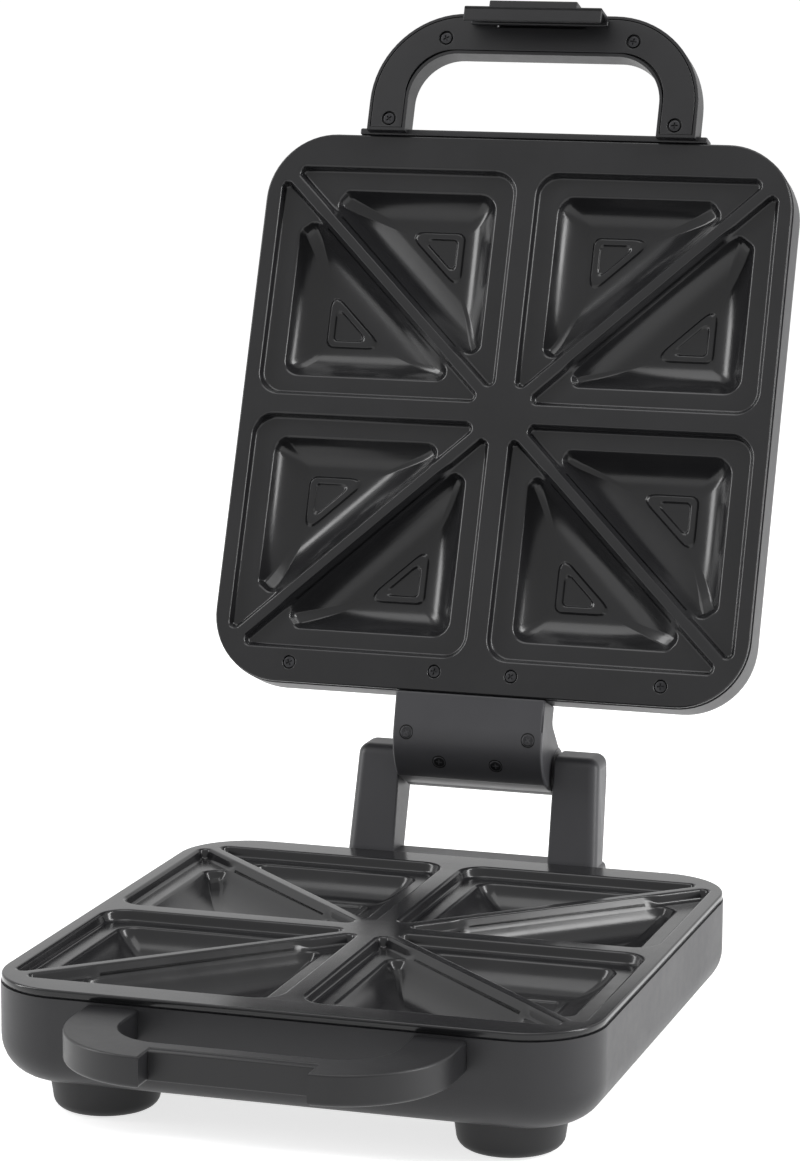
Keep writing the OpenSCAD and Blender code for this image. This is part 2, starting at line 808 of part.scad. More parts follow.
module lid_housing() {
    color("#2c2c2f") lid_pose()
        difference() {
            union() {
                difference() {
                    translate([0, 0, rim_t + lid_rise])
                        housing_block(shell_half_w, shell_half_d, shell_r, lid_h - lid_rise, lid_edge_r);
                    translate([0, 0, rim_t + lid_rise - hair])
                        housing_block(shell_half_w - shell_t, shell_half_d - shell_t, shell_r - shell_t,
                                      lid_h - lid_rise - shell_t + hair, lid_edge_r - shell_t);
                }
                for (x = plate_screw_xs)
                    translate([x, plate_screw_y, rim_t + lid_rise]) cylinder(h = plate_post_h, r = plate_post_r);
            }
            for (x = plate_screw_xs)
                translate([x, plate_screw_y, rim_t + lid_rise - hair]) cylinder(h = 12, r = screw_r);
            for (side = [-1, 1])
                lens_spots(side) translate([0, 0, -1]) cylinder(h = shell_t + 2, r = 4);
            lid_screw_spots() translate([0, 0, -1]) cylinder(h = shell_t + 2, r = screw_r + 0.2);
            arm_bolt_spots() translate([0, 0, -1]) cylinder(h = shell_t + 2, r = bolt_r + bolt_clear);
        }
}

module lid_plate() {
    color("#3a3a3c") lid_side()
        difference() {
            plate_body();
            for (x = plate_screw_xs)
                translate([x, plate_screw_y, -rim_t - hair]) {
                    cylinder(h = rim_t + 1, r = screw_r);
                    translate([0, 0, rim_t - screw_head_h + hair]) cylinder(h = screw_head_h + 1, r = screw_head_r);
                }
        }
}

module lid_plate_screws() {
    color("#8a8a8c") lid_side()
        for (x = plate_screw_xs)
            translate([x, plate_screw_y, -screw_head_h]) cross_screw(rim_t - screw_head_h + 10);
}

module lid_heater() {
    color("#6d6a66") lid_side() heater();
}

module lid_heater_clamps() {
    color("silver") lid_side() heater_clamps();
}

module lid_heat_shield() {
    color("#b9bbbd") lid_side() heat_shield();
}

module lid_thermal_fuse() {
    color("#e8e2d0") lid_side() thermal_fuse();
}

// Standoffs between the lid's heat shield and the housing, with their studs into the plate
module shield_standoffs() {
    standoff_h = lid_top - shell_t + (shield_z - shield_t) - lid_rise;
    color("silver") lid_side()
        standoff_spots()
            translate([0, 0, shield_z - shield_t]) {
                translate([0, 0, -standoff_h]) cylinder(h = standoff_h, r = boss_r);
                cylinder(h = shield_t + 8, r = bolt_r);
            }
}

module lens(side, tint) {
    color(tint) lid_pose()
        lens_spots(side) {
            cylinder(h = shell_t + 0.8, r = 4);
            translate([0, 0, -1.5]) cylinder(h = 1.5, r = 5.4);
        }
}

module power_lens() {
    lens(-1, "#c23a2b");
}

module ready_lens() {
    lens(1, "#3f9a4c");
}

// Neon lamps in their clips, under the lenses
module lamp_holders() {
    color("#d9d4c6") lid_pose()
        for (side = [-1, 1])
            lens_spots(side)
                translate([0, 0, -1.5]) mirror([0, 0, 1]) cylinder(h = 4.5, r = 3);
}

module handle_ring(inset, extra) {
    difference() {
        handle_plan(handle_w / 2 - inset, handle_reach - inset, handle_r - inset, shell_half_d + extra);
        handle_plan(lid_window_w / 2 + inset, lid_window_reach + inset, window_r, shell_half_d + extra - hair);
    }
}

module latch_notch(grow) {
    translate([-notch_half - grow, -handle_reach - 5, lid_face - 5])
        cube([2 * (notch_half + grow), handle_reach + 5 - notch_back + grow, notch_top - lid_face + 5 + grow]);
}

module lid_handle() {
    color("#2b2b2d") lid_pose()
        difference() {
            union() {
                translate([0, 0, lid_face + hair])
                    linear_extrude(lid_handle_h - hair) handle_ring(0, 0);
                translate([-flange_half, -(shell_half_d + flange_t), lid_rise])
                    cube([2 * flange_half, flange_t, lid_handle_top - lid_rise]);
            }
            // room for the lower plate's edge under the flange
            translate([-flange_half, -(shell_half_d + root_clear), lid_face - 1])
                cube([2 * flange_half, 5, lid_rise - lid_face + 1]);
            translate([0, 0, lid_face - hair])
                linear_extrude(cover_t + hair) handle_ring(cover_inset, 0);
            latch_notch(0);
            for (spot = cover_screw_spots)
                translate([spot[0], spot[1], lid_face]) cylinder(h = cover_t + 6, r = screw_r);
            lid_screw_spots() translate([0, 0, -bolt_grip - 1]) cylinder(h = bolt_grip + 2, r = screw_r);
            // seat for the pin's ends, open towards the cover
            translate([0, pin_y, latch_pin_z]) rotate([0, 90, 0])
                cylinder(h = pin_len + 1, r = latch_pin_r, center = true);
            translate([-(pin_len + 1) / 2, pin_y - latch_pin_r + 0.1, lid_face])
                cube([pin_len + 1, 2 * latch_pin_r - 0.2, latch_pin_z - lid_face]);
        }
}

module lid_handle_cover() {
    color("#303033") lid_pose()
        difference() {
            translate([0, 0, lid_face])
                linear_extrude(cover_t) handle_ring(cover_inset + cover_play, root_clear);
            latch_notch(0.6);
            for (spot = cover_screw_spots)
                translate([spot[0], spot[1], lid_face - hair]) {
                    cylinder(h = cover_t + 1, r = screw_r);
                    cylinder(h = screw_head_h + hair, r = screw_head_r);
                }
        }
}

module cover_screws() {
    color("#77777a") lid_pose()
        for (spot = cover_screw_spots)
            translate([spot[0], spot[1], lid_face + screw_head_h]) mirror([0, 0, 1]) cross_screw(cover_t + 2);
}

module lid_handle_screws() {
    color("silver") lid_pose()
        lid_screw_spots() translate([0, 0, shell_t]) cross_screw(shell_t + bolt_grip);
}

// Points on the round nose of the arm, from its bottom up to its back
function nose_arc(r, from, to) =
    [for (turn = [from:5:to]) [nose_y + r * sin(turn), nose_z - r * cos(turn)]];

// Side view of the arm without its cover, from the lid's back wall to the hinge barrel
module arm_side() {
    polygon(concat(
        [[arm_front, arm_low + arm_skin - arm_slope]],
        nose_arc(nose_r - arm_skin, 0, cover_end),
        nose_arc(nose_r - 0.7, cover_end, 90),
        [[hinge_y + barrel_r - 0.5, hinge_z - 1], [hinge_y, hinge_z + 2], [hinge_y - barrel_r + 0.3, hinge_z],
         [nose_y - 6, arm_high], [arm_front, arm_high]]
    ));
}

// Side view of the screwed cover on the arm's underside
module arm_cover_side() {
    polygon(concat(
        [[arm_front, arm_low + arm_skin - arm_slope], [arm_front, arm_low - arm_slope]],
        nose_arc(nose_r, 0, cover_end),
        [for (point = [len(nose_arc(nose_r, 0, cover_end)) - 1:-1:0])
            nose_arc(nose_r - arm_skin, 0, cover_end)[point]]
    ));
}

module across_arm(half) {
    rotate([90, 0, 90]) linear_extrude(2 * half, center = true) children();
}

module arm_screw_spots() {
    for (side = [-1, 1], row = [arm_screw_upper, arm_screw_lower])
        translate([side * row[0], nose_y, nose_z])
            rotate([row[1], 0, 0])
                translate([0, 0, -nose_r + screw_head_h + 0.3]) mirror([0, 0, 1]) children();
}

module hinge_arm() {
    color("#3c3c40") lid_pose()
        difference() {
            union() {
                across_arm(arm_half) arm_side();
                translate([0, hinge_y, hinge_z]) rotate([0, 90, 0])
                    cylinder(h = 2 * arm_half, r = barrel_r, center = true);
            }
            translate([0, hinge_y, hinge_z]) rotate([0, 90, 0])
                cylinder(h = 3 * arm_half, r = shaft_r, center = true);
            arm_bolt_spots() translate([0, 0, -bolt_grip - 1]) cylinder(h = bolt_grip + 2, r = bolt_r);
            arm_screw_spots() mirror([0, 0, 1]) cylinder(h = 9, r = screw_r);
            // hollow between the cover and the barrel
            translate([-arm_half + 17, nose_y - 8, arm_low + arm_skin - hair]) cube([2 * arm_half - 34, 14, 9]);
        }
}

module arm_cover() {
    color("#46464a") lid_pose()
        difference() {
            across_arm(arm_half) arm_cover_side();
            arm_screw_spots() {
                mirror([0, 0, 1]) cylinder(h = 9, r = screw_r);
                cylinder(h = 4, r = screw_head_r);
            }
        }
}

module arm_screws() {
    color("#77777a") lid_pose() arm_screw_spots() cross_screw(7);
}

module arm_bolts() {
    color("silver") lid_pose()
        arm_bolt_spots() translate([0, 0, shell_t]) pan_bolt(shell_t + bolt_grip);
}

module hinge_shaft() {
    color("silver") lid_pose()
        translate([0, hinge_y, hinge_z]) rotate([0, 90, 0])
            cylinder(h = 2 * (post_in + bush_len - 0.5), r = shaft_r, center = true);
}

module latch_pin() {
    color("silver") lid_pose()
        translate([0, pin_y, latch_pin_z]) rotate([0, 90, 0])
            cylinder(h = pin_len, r = latch_pin_r, center = true);
}

// Washers that hold the latch by friction, one at each end of its stem
module latch_washers() {
    color("silver") lid_pose()
        for (side = [-1, 1])
            translate([side * (tab_half + notch_half) / 2, pin_y, latch_pin_z]) rotate([0, 90, 0])
                difference() {
                    cylinder(h = notch_half - tab_half - 0.1, r = latch_pin_r + 1.4, center = true);
                    cylinder(h = notch_half - tab_half, r = latch_pin_r + pin_clear, center = true);
                }
}

// ------------------------------------------------------------ latch

module latch() {
    color("#343437") lid_pose()
        difference() {
            union() {
                // hook: a channel that closes round the catch rib
                translate([-hook_half, -hook_front, -hook_drop])
                    cube([2 * hook_half, hook_t, hook_drop + lid_face - hook_gap]);
                translate([-hook_half, -hook_front, -hook_drop]) cube([2 * hook_half, hook_d, hook_t]);
                translate([-hook_half, -hook_front, lid_face - hook_gap - hook_t])
                    cube([2 * hook_half, hook_d - 1.5, hook_t]);
                // finger tab
                translate([-tab_half, -tab_front, -hook_drop])
                    cube([2 * tab_half, tab_front - hook_front + hair, hook_drop + latch_top]);
                // stem that turns on the pin
                translate([-tab_half, -hook_front, lid_face - hook_gap - hook_t])
                    cube([2 * tab_half, hook_front - stem_back, latch_top - lid_face + hook_gap + hook_t]);
            }
            translate([-tab_half - 1, pin_y, latch_pin_z]) rotate([0, 90, 0])
                cylinder(h = 2 * tab_half + 2, r = latch_pin_r + pin_clear);
        }
}

base_housing();
base_plate();
base_plate_screws();
base_heater();
base_heater_clamps();
base_heat_shield();
thermostat();
base_thermal_fuse();
terminal_block();
cord_gland();
feet();
foot_pads();
foot_screws();
lower_handle();
lower_handle_screws();
hinge_bracket();
bracket_screws();
hinge_bushes();
lid_housing();
lid_plate();
lid_plate_screws();
lid_heater();
lid_heater_clamps();
lid_heat_shield();
lid_thermal_fuse();
shield_standoffs();
power_lens();
ready_lens();
lamp_holders();
lid_handle();
lid_handle_cover();
cover_screws();
lid_handle_screws();
hinge_arm();
arm_cover();
arm_screws();
arm_bolts();
hinge_shaft();
latch();
latch_pin();
latch_washers();
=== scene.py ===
"""Sandwich toaster, open: cooking plates, housings, handles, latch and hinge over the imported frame."""

import json
import math

import bmesh
import bpy
from bpy.props import FloatProperty, FloatVectorProperty, PointerProperty
from mathutils import Matrix, Vector


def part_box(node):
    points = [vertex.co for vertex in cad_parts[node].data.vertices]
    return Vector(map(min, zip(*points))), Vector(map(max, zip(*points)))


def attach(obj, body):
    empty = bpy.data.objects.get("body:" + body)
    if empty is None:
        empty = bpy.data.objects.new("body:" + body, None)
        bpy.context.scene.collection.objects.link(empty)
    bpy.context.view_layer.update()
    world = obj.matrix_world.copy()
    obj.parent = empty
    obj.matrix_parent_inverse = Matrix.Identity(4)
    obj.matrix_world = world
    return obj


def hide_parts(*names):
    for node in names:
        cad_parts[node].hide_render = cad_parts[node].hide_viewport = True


bl_info = {
    "name": "Sandwich Toaster",
    "version": (1, 0, 0),
    "blender": (4, 5, 0),
    "location": "View3D > Sidebar > Toaster",
    "description": "Builds the dressed pieces of an open sandwich toaster",
    "category": "Object",
}

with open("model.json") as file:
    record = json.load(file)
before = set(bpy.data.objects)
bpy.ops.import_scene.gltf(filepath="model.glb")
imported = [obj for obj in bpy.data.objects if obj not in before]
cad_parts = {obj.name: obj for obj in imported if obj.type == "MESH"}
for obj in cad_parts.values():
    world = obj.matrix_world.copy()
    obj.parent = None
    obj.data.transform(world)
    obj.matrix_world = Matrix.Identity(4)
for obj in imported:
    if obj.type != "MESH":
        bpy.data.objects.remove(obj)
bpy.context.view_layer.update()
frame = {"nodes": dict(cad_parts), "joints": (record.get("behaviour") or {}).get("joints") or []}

# ---- places
# Pieces are drawn in millimetres with the lid closed: plate centre at x = y = 0, rims at z = 0.
PLATE_LOW, PLATE_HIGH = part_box("base_plate")
HINGE = next(j for j in frame["joints"] if j["name"] == "lid_hinge")
MILLI = 0.001
REST_SHIFT = Vector((0.0, (PLATE_LOW.y + PLATE_HIGH.y) / 2, PLATE_HIGH.z))
HINGE_AT = Vector(HINGE["pos_m"])
BASE_PLACE = Matrix.Translation(REST_SHIFT) @ Matrix.Scale(MILLI, 4)
LID_PLACE = (
    Matrix.Translation(HINGE_AT)
    @ Matrix.Rotation(-math.radians(HINGE["range_deg"][1]), 4, "X")
    @ Matrix.Translation(-HINGE_AT)
    @ BASE_PLACE
)
PLACES = {"base": BASE_PLACE, "lid": LID_PLACE, "latch": LID_PLACE}
HINGE_Y = (HINGE_AT.y - REST_SHIFT.y) / MILLI
HINGE_Z = (HINGE_AT.z - REST_SHIFT.z) / MILLI
PLATE_WIDTH = PLATE_HIGH.x - PLATE_LOW.x
PLATE_DEPTH = PLATE_HIGH.y - PLATE_LOW.y

# Sizes in millimetres that several pieces share.
PLATE_GAP = 0.6  # between the closed plates' rims
PLATE_WALL = 1.8
RIM_EDGE = 3.3  # height of a plate's visible edge
SEAM = 0.25  # shadow line between a plate and its housing
SHELL_LIP = 0.3  # how far a housing reaches past its plate
PLATE_SCREW_X = (-87.2, -18, 18, 87.2)
PLATE_SCREW_EDGE = 9  # from the lid plate's back edge to its screws
WINDOW_CORNER = 22.0  # inner corners of both handles
HANDLE_FACE = -4.4  # inner face of the lid's handle
CATCH_DEPTH = 12.7  # of the catch recess in the lower handle
CATCH_RIB = 2.8  # how far the rib that the latch holds stands out of that recess
POST_CLEARANCE = 1.3  # between the hinge arm and a post
BARREL_RADIUS = 11.0
COVER_SKIN = 0.3  # how far the arm's cover stands over the barrel
NOSE_RADIUS = 24.3  # outer bend of the arm's cover
ARM_LOW = 2.6  # inner face of the arm's cover
NOSE_Y = HINGE_Y + BARREL_RADIUS + COVER_SKIN - NOSE_RADIUS
NOSE_Z = ARM_LOW + NOSE_RADIUS


# ---- settings


class ToasterSizes(bpy.types.PropertyGroup):
    plate_width: FloatProperty(
        name="Plate width", description="Across the hinge", default=PLATE_WIDTH, unit="LENGTH")
    plate_depth: FloatProperty(
        name="Plate depth", description="Front to back", default=PLATE_DEPTH, unit="LENGTH")
    plate_corner: FloatProperty(
        name="Plate corner", description="Corner radius of a plate", default=0.032, unit="LENGTH")
    shelf_drop: FloatProperty(
        name="Shelf drop", description="Depth of the crust shelf", default=0.0045, unit="LENGTH")
    pocket_drop: FloatProperty(
        name="Pocket drop", description="Depth of a pocket below its shelf",
        default=0.0112, unit="LENGTH")
    ridge_half: FloatProperty(
        name="Ridge half width", description="Half the flat top of a dividing ridge",
        default=0.0014, unit="LENGTH")
    tub_height: FloatProperty(
        name="Base height", description="Height of the lower housing", default=0.039, unit="LENGTH")
    lid_height: FloatProperty(
        name="Lid height", description="Height of the lid housing", default=0.036, unit="LENGTH")
    handle_width: FloatProperty(
        name="Handle width", description="Width of both handles", default=0.157, unit="LENGTH")
    handle_reach: FloatProperty(
        name="Handle reach", description="From the plate centre to the handles' front",
        default=0.1884, unit="LENGTH")
    handle_corner: FloatProperty(
        name="Handle corner", description="Outer corner radius of the handles",
        default=0.043, unit="LENGTH")
    post_height: FloatProperty(
        name="Post height", description="Height of the hinge posts over the rims",
        default=0.045, unit="LENGTH")
    arm_half: FloatProperty(
        name="Arm half width", description="Half the width of the hinge arm", default=0.035, unit="LENGTH")


class ToasterFinish(bpy.types.PropertyGroup):
    coating: FloatVectorProperty(
        name="Coating", description="Non-stick coating", subtype="COLOR", default=(0.013, 0.013, 0.014))
    housing: FloatVectorProperty(
        name="Housing", description="Housing plastic", subtype="COLOR", default=(0.018, 0.018, 0.0198))
    handle: FloatVectorProperty(
        name="Handles", description="Handle plastic", subtype="COLOR", default=(0.009, 0.009, 0.010))
    hinge: FloatVectorProperty(
        name="Hinge", description="Hinge plastic", subtype="COLOR", default=(0.046, 0.046, 0.050))
    coating_roughness: FloatProperty(
        name="Coating roughness", description="Gloss of the coating", subtype="FACTOR", default=0.19)
    plastic_roughness: FloatProperty(
        name="Plastic roughness", description="Gloss of the plastics", subtype="FACTOR", default=0.42)


class ToasterStage(bpy.types.PropertyGroup):
    camera_azimuth: FloatProperty(
        name="Azimuth", description="Camera's turn to the right", subtype="ANGLE",
        default=math.radians(16.25))
    camera_height: FloatProperty(
        name="Elevation", description="Camera's angle above level", subtype="ANGLE",
        default=math.radians(9.856))
    camera_roll: FloatProperty(
        name="Roll", description="Camera's roll", subtype="ANGLE", default=math.radians(0.534))
    camera_distance: FloatProperty(
        name="Distance", description="From the aiming point", default=1.7288, unit="LENGTH")
    camera_lens: FloatProperty(
        name="Lens", description="Focal length in millimetres", default=120.42)
    camera_shift: FloatVectorProperty(
        name="Shift", description="Sideways and upward shift of the view", size=2, default=(-0.0768, -0.0063))
    key_power: FloatProperty(
        name="Key lamp", description="Power of the large soft lamp", default=20.0, unit="POWER")
    left_power: FloatProperty(
        name="Left lamp", description="Power of the lamp on the left", default=28.0, unit="POWER")
    right_power: FloatProperty(
        name="Right lamp", description="Power of the lamp on the right", default=42.0, unit="POWER")
    world_level: FloatProperty(
        name="Room light", description="Level of the light from all round", default=0.35)
    floor_glow: FloatProperty(
        name="Floor glow", description="The floor's own light, for the camera and reflections", default=0.74)


# ---- materials


def tree(name):
    """New node material, with its nodes, links and main shader."""
    material = bpy.data.materials.new(name)
    material.use_nodes = True
    nodes = material.node_tree.nodes
    return material, nodes, material.node_tree.links, nodes["Principled BSDF"]


def node_at(nodes, kind, **values):
    node = nodes.new(kind)
    for key, value in values.items():
        setattr(node, key, value)
    return node


def noise_from(nodes, links, coords, scale, detail=3.0, rough=0.55, stretch=None):
    noise = nodes.new("ShaderNodeTexNoise")
    noise.inputs["Scale"].default_value = scale
    noise.inputs["Detail"].default_value = detail
    noise.inputs["Roughness"].default_value = rough
    source = coords
    if stretch:
        mapping = nodes.new("ShaderNodeMapping")
        mapping.inputs["Scale"].default_value = stretch
        links.new(coords, mapping.inputs["Vector"])
        source = mapping.outputs["Vector"]
    links.new(source, noise.inputs["Vector"])
    return noise.outputs["Fac"]


def spread(nodes, links, value, low, high):
    """Maps the usual range of a noise, 0.3 to 0.7, to low and high."""
    mapper = nodes.new("ShaderNodeMapRange")
    mapper.inputs["From Min"].default_value = 0.3
    mapper.inputs["From Max"].default_value = 0.7
    mapper.inputs["To Min"].default_value = low
    mapper.inputs["To Max"].default_value = high
    links.new(value, mapper.inputs["Value"])
    return mapper.outputs["Result"]


def moulded(name, colour, roughness, grain=2600.0, grain_depth=0.00006, patch=22.0, tone=0.12,
            rough_swing=0.05, metallic=0.0, ior=1.5, stretch=None, scuff=0.0):
    """Surface with fine grain in its bump, slow patches in its colour and gloss, and faint scuffs."""
    material, nodes, links, shader = tree(name)
    coords = nodes.new("ShaderNodeTexCoord").outputs["Object"]
    fine = noise_from(nodes, links, coords, grain, 2.0, 0.5, stretch)
    slow = noise_from(nodes, links, coords, patch, 4.0)
    mix = node_at(nodes, "ShaderNodeMix", data_type="RGBA")
    mix.inputs["A"].default_value = [c * (1 - tone) for c in colour] + [1]
    mix.inputs["B"].default_value = [min(1, c * (1 + tone)) for c in colour] + [1]
    links.new(spread(nodes, links, slow, 0.0, 1.0), mix.inputs["Factor"])
    links.new(mix.outputs["Result"], shader.inputs["Base Color"])
    gloss = spread(nodes, links, slow, roughness - rough_swing, roughness + rough_swing)
    if scuff:
        marks = noise_from(nodes, links, coords, 160.0, 5.0, 0.7)
        step = node_at(nodes, "ShaderNodeMath", operation="MULTIPLY_ADD")
        links.new(spread(nodes, links, marks, -1.0, 1.0), step.inputs[0])
        step.inputs[1].default_value = scuff
        links.new(gloss, step.inputs[2])
        gloss = step.outputs[0]
    links.new(gloss, shader.inputs["Roughness"])
    bump = nodes.new("ShaderNodeBump")
    bump.inputs["Strength"].default_value = 0.35
    bump.inputs["Distance"].default_value = grain_depth
    links.new(fine, bump.inputs["Height"])
    links.new(bump.outputs["Normal"], shader.inputs["Normal"])
    shader.inputs["Metallic"].default_value = metallic
    shader.inputs["IOR"].default_value = ior
    return material


def lens_material(name, colour):
    """Coloured lens with slow waves in its colour and gloss."""
    material, nodes, links, shader = tree(name)
    coords = nodes.new("ShaderNodeTexCoord").outputs["Object"]
    rings = noise_from(nodes, links, coords, 700.0, 1.0)
    mix = node_at(nodes, "ShaderNodeMix", data_type="RGBA")
    mix.inputs["A"].default_value = [c * 0.75 for c in colour] + [1]
    mix.inputs["B"].default_value = [*colour, 1]
    links.new(rings, mix.inputs["Factor"])
    links.new(mix.outputs["Result"], shader.inputs["Base Color"])
    links.new(spread(nodes, links, rings, 0.08, 0.16), shader.inputs["Roughness"])
    shader.inputs["IOR"].default_value = 1.49
    return material


MATERIALS = {}


def build_materials(finish):
    rough = finish.plastic_roughness
    metal = {"metallic": 1.0}
    plastic = {"ior": 1.4, "scuff": 0.02}
    MATERIALS.update(
        coated=moulded("Non-stick coating", tuple(finish.coating), finish.coating_roughness, 900.0, 0.000008,
                       30.0, 0.12, 0.03, ior=1.38, scuff=0.02),
        housing=moulded("Housing plastic", tuple(finish.housing), rough + 0.02, 2600.0, 0.00004,
                        14.0, 0.1, 0.03, **plastic),
        handle=moulded("Handle plastic", tuple(finish.handle), rough, 2600.0, 0.00005,
                       18.0, 0.1, 0.03, **plastic),
        hinge=moulded("Hinge plastic", tuple(finish.hinge), rough, 2600.0, 0.00005,
                      18.0, 0.1, 0.03, **plastic),
        foot=moulded("Foot plastic", (0.012, 0.012, 0.013), 0.5, 2200.0, 0.00006, ior=1.4),
        rubber=moulded("Rubber", (0.012, 0.012, 0.012), 0.75, 1800.0, 0.00008),
        dark_metal=moulded("Dark screw", (0.038, 0.038, 0.040), 0.38, 1500.0, 0.00004,
                           300.0, 0.25, 0.08, **metal),
        # near-black with almost no reflection: painted shade for the dark rings round the arm screws
        seat=moulded("Screw seat", (0.006, 0.006, 0.006), 0.6, 1800.0, 0.00004, ior=1.2),
        steel=moulded("Zinc plated steel", (0.55, 0.55, 0.56), 0.32, 900.0, 0.00003,
                      120.0, 0.1, 0.06, **metal),
        pin=moulded("Ground steel", (0.6, 0.6, 0.62), 0.25, 700.0, 0.00002,
                    90.0, 0.08, 0.05, stretch=(0.1, 1.0, 1.0), **metal),
        heater=moulded("Heater sheath", (0.16, 0.15, 0.14), 0.5, 700.0, 0.00005, 40.0, 0.3, 0.08, **metal),
        sheet=moulded("Plain sheet metal", (0.6, 0.6, 0.61), 0.35, 500.0, 0.00003,
                      30.0, 0.08, 0.06, stretch=(0.15, 1.0, 1.0), **metal),
        brass=moulded("Brass", (0.6, 0.43, 0.18), 0.35, 700.0, 0.00003, 80.0, 0.1, 0.06, **metal),
        ceramic=moulded("Ceramic", (0.72, 0.68, 0.58), 0.5, 600.0, 0.00006, 60.0, 0.05),
        red=lens_material("Red lens", (0.5, 0.03, 0.02)),
        green=lens_material("Green lens", (0.04, 0.36, 0.07)),
    )


# ---- mesh tools


def round_corner(bm, vert, radius, segments):
    """Rounds one corner of a flat outline to a radius."""
    ends = [edge.other_vert(vert).co - vert.co for edge in vert.link_edges]
    half = ends[0].angle(ends[1]) / 2
    bmesh.ops.bevel(bm, geom=[vert], offset=radius / math.tan(half), offset_type="OFFSET",
                    segments=segments, profile=0.5, affect="VERTICES", material=-1)


def outline(points, radii, z=0.0, segments=10):
    """New bmesh with one flat face that looks up; each corner of points gets its radius."""
    bm = bmesh.new()
    face = bm.faces.new([bm.verts.new((x, y, z)) for x, y in points])
    for vert, radius in zip(list(face.verts), radii):
        if radius:
            round_corner(bm, vert, radius, segments if radius > 5 else 5)
    face = max(bm.faces, key=lambda f: f.calc_area())
    face.normal_update()
    if face.normal.z < 0:
        bmesh.ops.reverse_faces(bm, faces=[face])
    return bm, face


def rectangle(half_wide, half_deep, corner, z=0.0):
    """New bmesh with one flat rectangle with round corners, in the middle."""
    x, y = half_wide, half_deep
    return outline([(-x, -y), (x, -y), (x, y), (-x, y)], [corner] * 4, z=z, segments=16)


def disc(radius, segments, centre, up=True):
    """New bmesh with one round face that looks up or down."""
    bm = bmesh.new()
    bmesh.ops.create_circle(bm, cap_ends=True, radius=radius, segments=segments,
                            matrix=Matrix.Translation(centre))
    cap = bm.faces[:][0]
    cap.normal_update()
    if (cap.normal.z > 0) != up:
        bmesh.ops.reverse_faces(bm, faces=[cap])
    return bm, cap


def move(bm, vec, verts=None):
    bmesh.ops.translate(bm, vec=vec, verts=bm.verts if verts is None else verts)


def step_in(bm, face, inward, rise):
    """Moves a face inward and along its normal, with new faces round it."""
    bmesh.ops.inset_individual(bm, faces=[face], thickness=inward, depth=rise, use_even_offset=True)


def follow(bm, face, moves, way=1):
    """Steps a face through pairs of inward and outward moves, or inward and back with way -1."""
    for inward, rise in moves:
        step_in(bm, face, inward, way * rise)


def slice_at(bm, at, normal, dist=1e-5, **clear):
    """Cuts a bmesh through a point, square to a direction."""
    geom = bm.verts[:] + bm.edges[:] + bm.faces[:]
    return bmesh.ops.bisect_plane(bm, geom=geom, dist=dist, plane_co=at, plane_no=normal, **clear)


def arc_steps(radius, start, end, count):
    """Pairs of inward and outward moves along an arc, whose tilt goes from start to end in degrees."""
    tilts = [math.radians(start + (end - start) * i / count) for i in range(count + 1)]
    moves = []
    for a, b in zip(tilts, tilts[1:]):
        moves.append((radius * abs(math.sin(b) - math.sin(a)), radius * abs(math.cos(b) - math.cos(a))))
    return moves


def shrink_to(bm, face, centre, factor, z):
    """Next ring of a pocket: the face scaled about a centre and set at a height."""
    bmesh.ops.inset_individual(bm, faces=[face], thickness=0.0, depth=0.0, use_even_offset=True)
    verts = list(face.verts)
    bmesh.ops.scale(bm, vec=(factor, factor, 1.0), space=Matrix.Translation((-centre[0], -centre[1], 0)),
                    verts=verts)
    move(bm, (0, 0, z - verts[0].co.z), verts)


def box_mesh(low, high):
    """New bmesh with a box between two corners."""
    bm = bmesh.new()
    bmesh.ops.create_cube(bm, size=1.0)
    size = [b - a for a, b in zip(low, high)]
    bmesh.ops.scale(bm, vec=size, verts=bm.verts)
    move(bm, [(a + b) / 2 for a, b in zip(low, high)])
    return bm


def bevel_edges(bm, edges, width, segments=4):
    bmesh.ops.bevel(bm, geom=list(edges), offset=width, offset_type="OFFSET", segments=segments,
                    profile=0.5, affect="EDGES", clamp_overlap=True, material=-1)


def sharp_edges(bm, degrees=35):
    return [e for e in bm.edges if len(e.link_faces) == 2 and e.calc_face_angle(0) > math.radians(degrees)]


def level_edges(edges, z, tolerance=0.01):
    """Those edges that lie at one height."""
    return [e for e in edges if all(abs(v.co.z - z) < tolerance for v in e.verts)]


def verts_in(geom):
    return [g for g in geom if isinstance(g, bmesh.types.BMVert)]


def along(edge, axis, part=0.9):
    """Whether an edge runs along an axis."""
    way = edge.verts[1].co - edge.verts[0].co
    return way.length > 0 and abs(way.normalized()[axis]) > part


def thicken(bm, face, rise):
    """Extrudes a flat face upward, or downward, and closes it into a solid."""
    made = bmesh.ops.extrude_face_region(bm, geom=[face])["geom"]
    move(bm, (0, 0, rise), verts_in(made))
    bmesh.ops.recalc_face_normals(bm, faces=bm.faces)


def add_mesh(target, source):
    """Moves the contents of one bmesh into another."""
    spare = bpy.data.meshes.new("spare")
    source.to_mesh(spare)
    source.free()
    target.from_mesh(spare)
    bpy.data.meshes.remove(spare)


def fill_between(bm, z, normal=(0, 0, 1)):
    """Fills the flat region between the open edges that lie at a height."""
    edges = level_edges([e for e in bm.edges if len(e.link_faces) < 2], z, 1e-4)
    made = bmesh.ops.triangle_fill(bm, edges=edges, use_beauty=True, use_dissolve=False, normal=normal)
    return [g for g in made["geom"] if isinstance(g, bmesh.types.BMFace)]


def mirrored(bm, matrix):
    """Copy of everything in a bmesh through a mirroring matrix."""
    copy = bm.copy()
    bmesh.ops.transform(copy, matrix=matrix, verts=copy.verts)
    bmesh.ops.reverse_faces(copy, faces=copy.faces)
    return copy


def flipped(bm, height):
    """Turns a bmesh over by a mirror, for the lid; its z = 0 comes to a height."""
    turned = mirrored(bm, Matrix.Translation((0, 0, height)) @ Matrix.Scale(-1, 4, (0, 0, 1)))
    bm.free()
    return turned


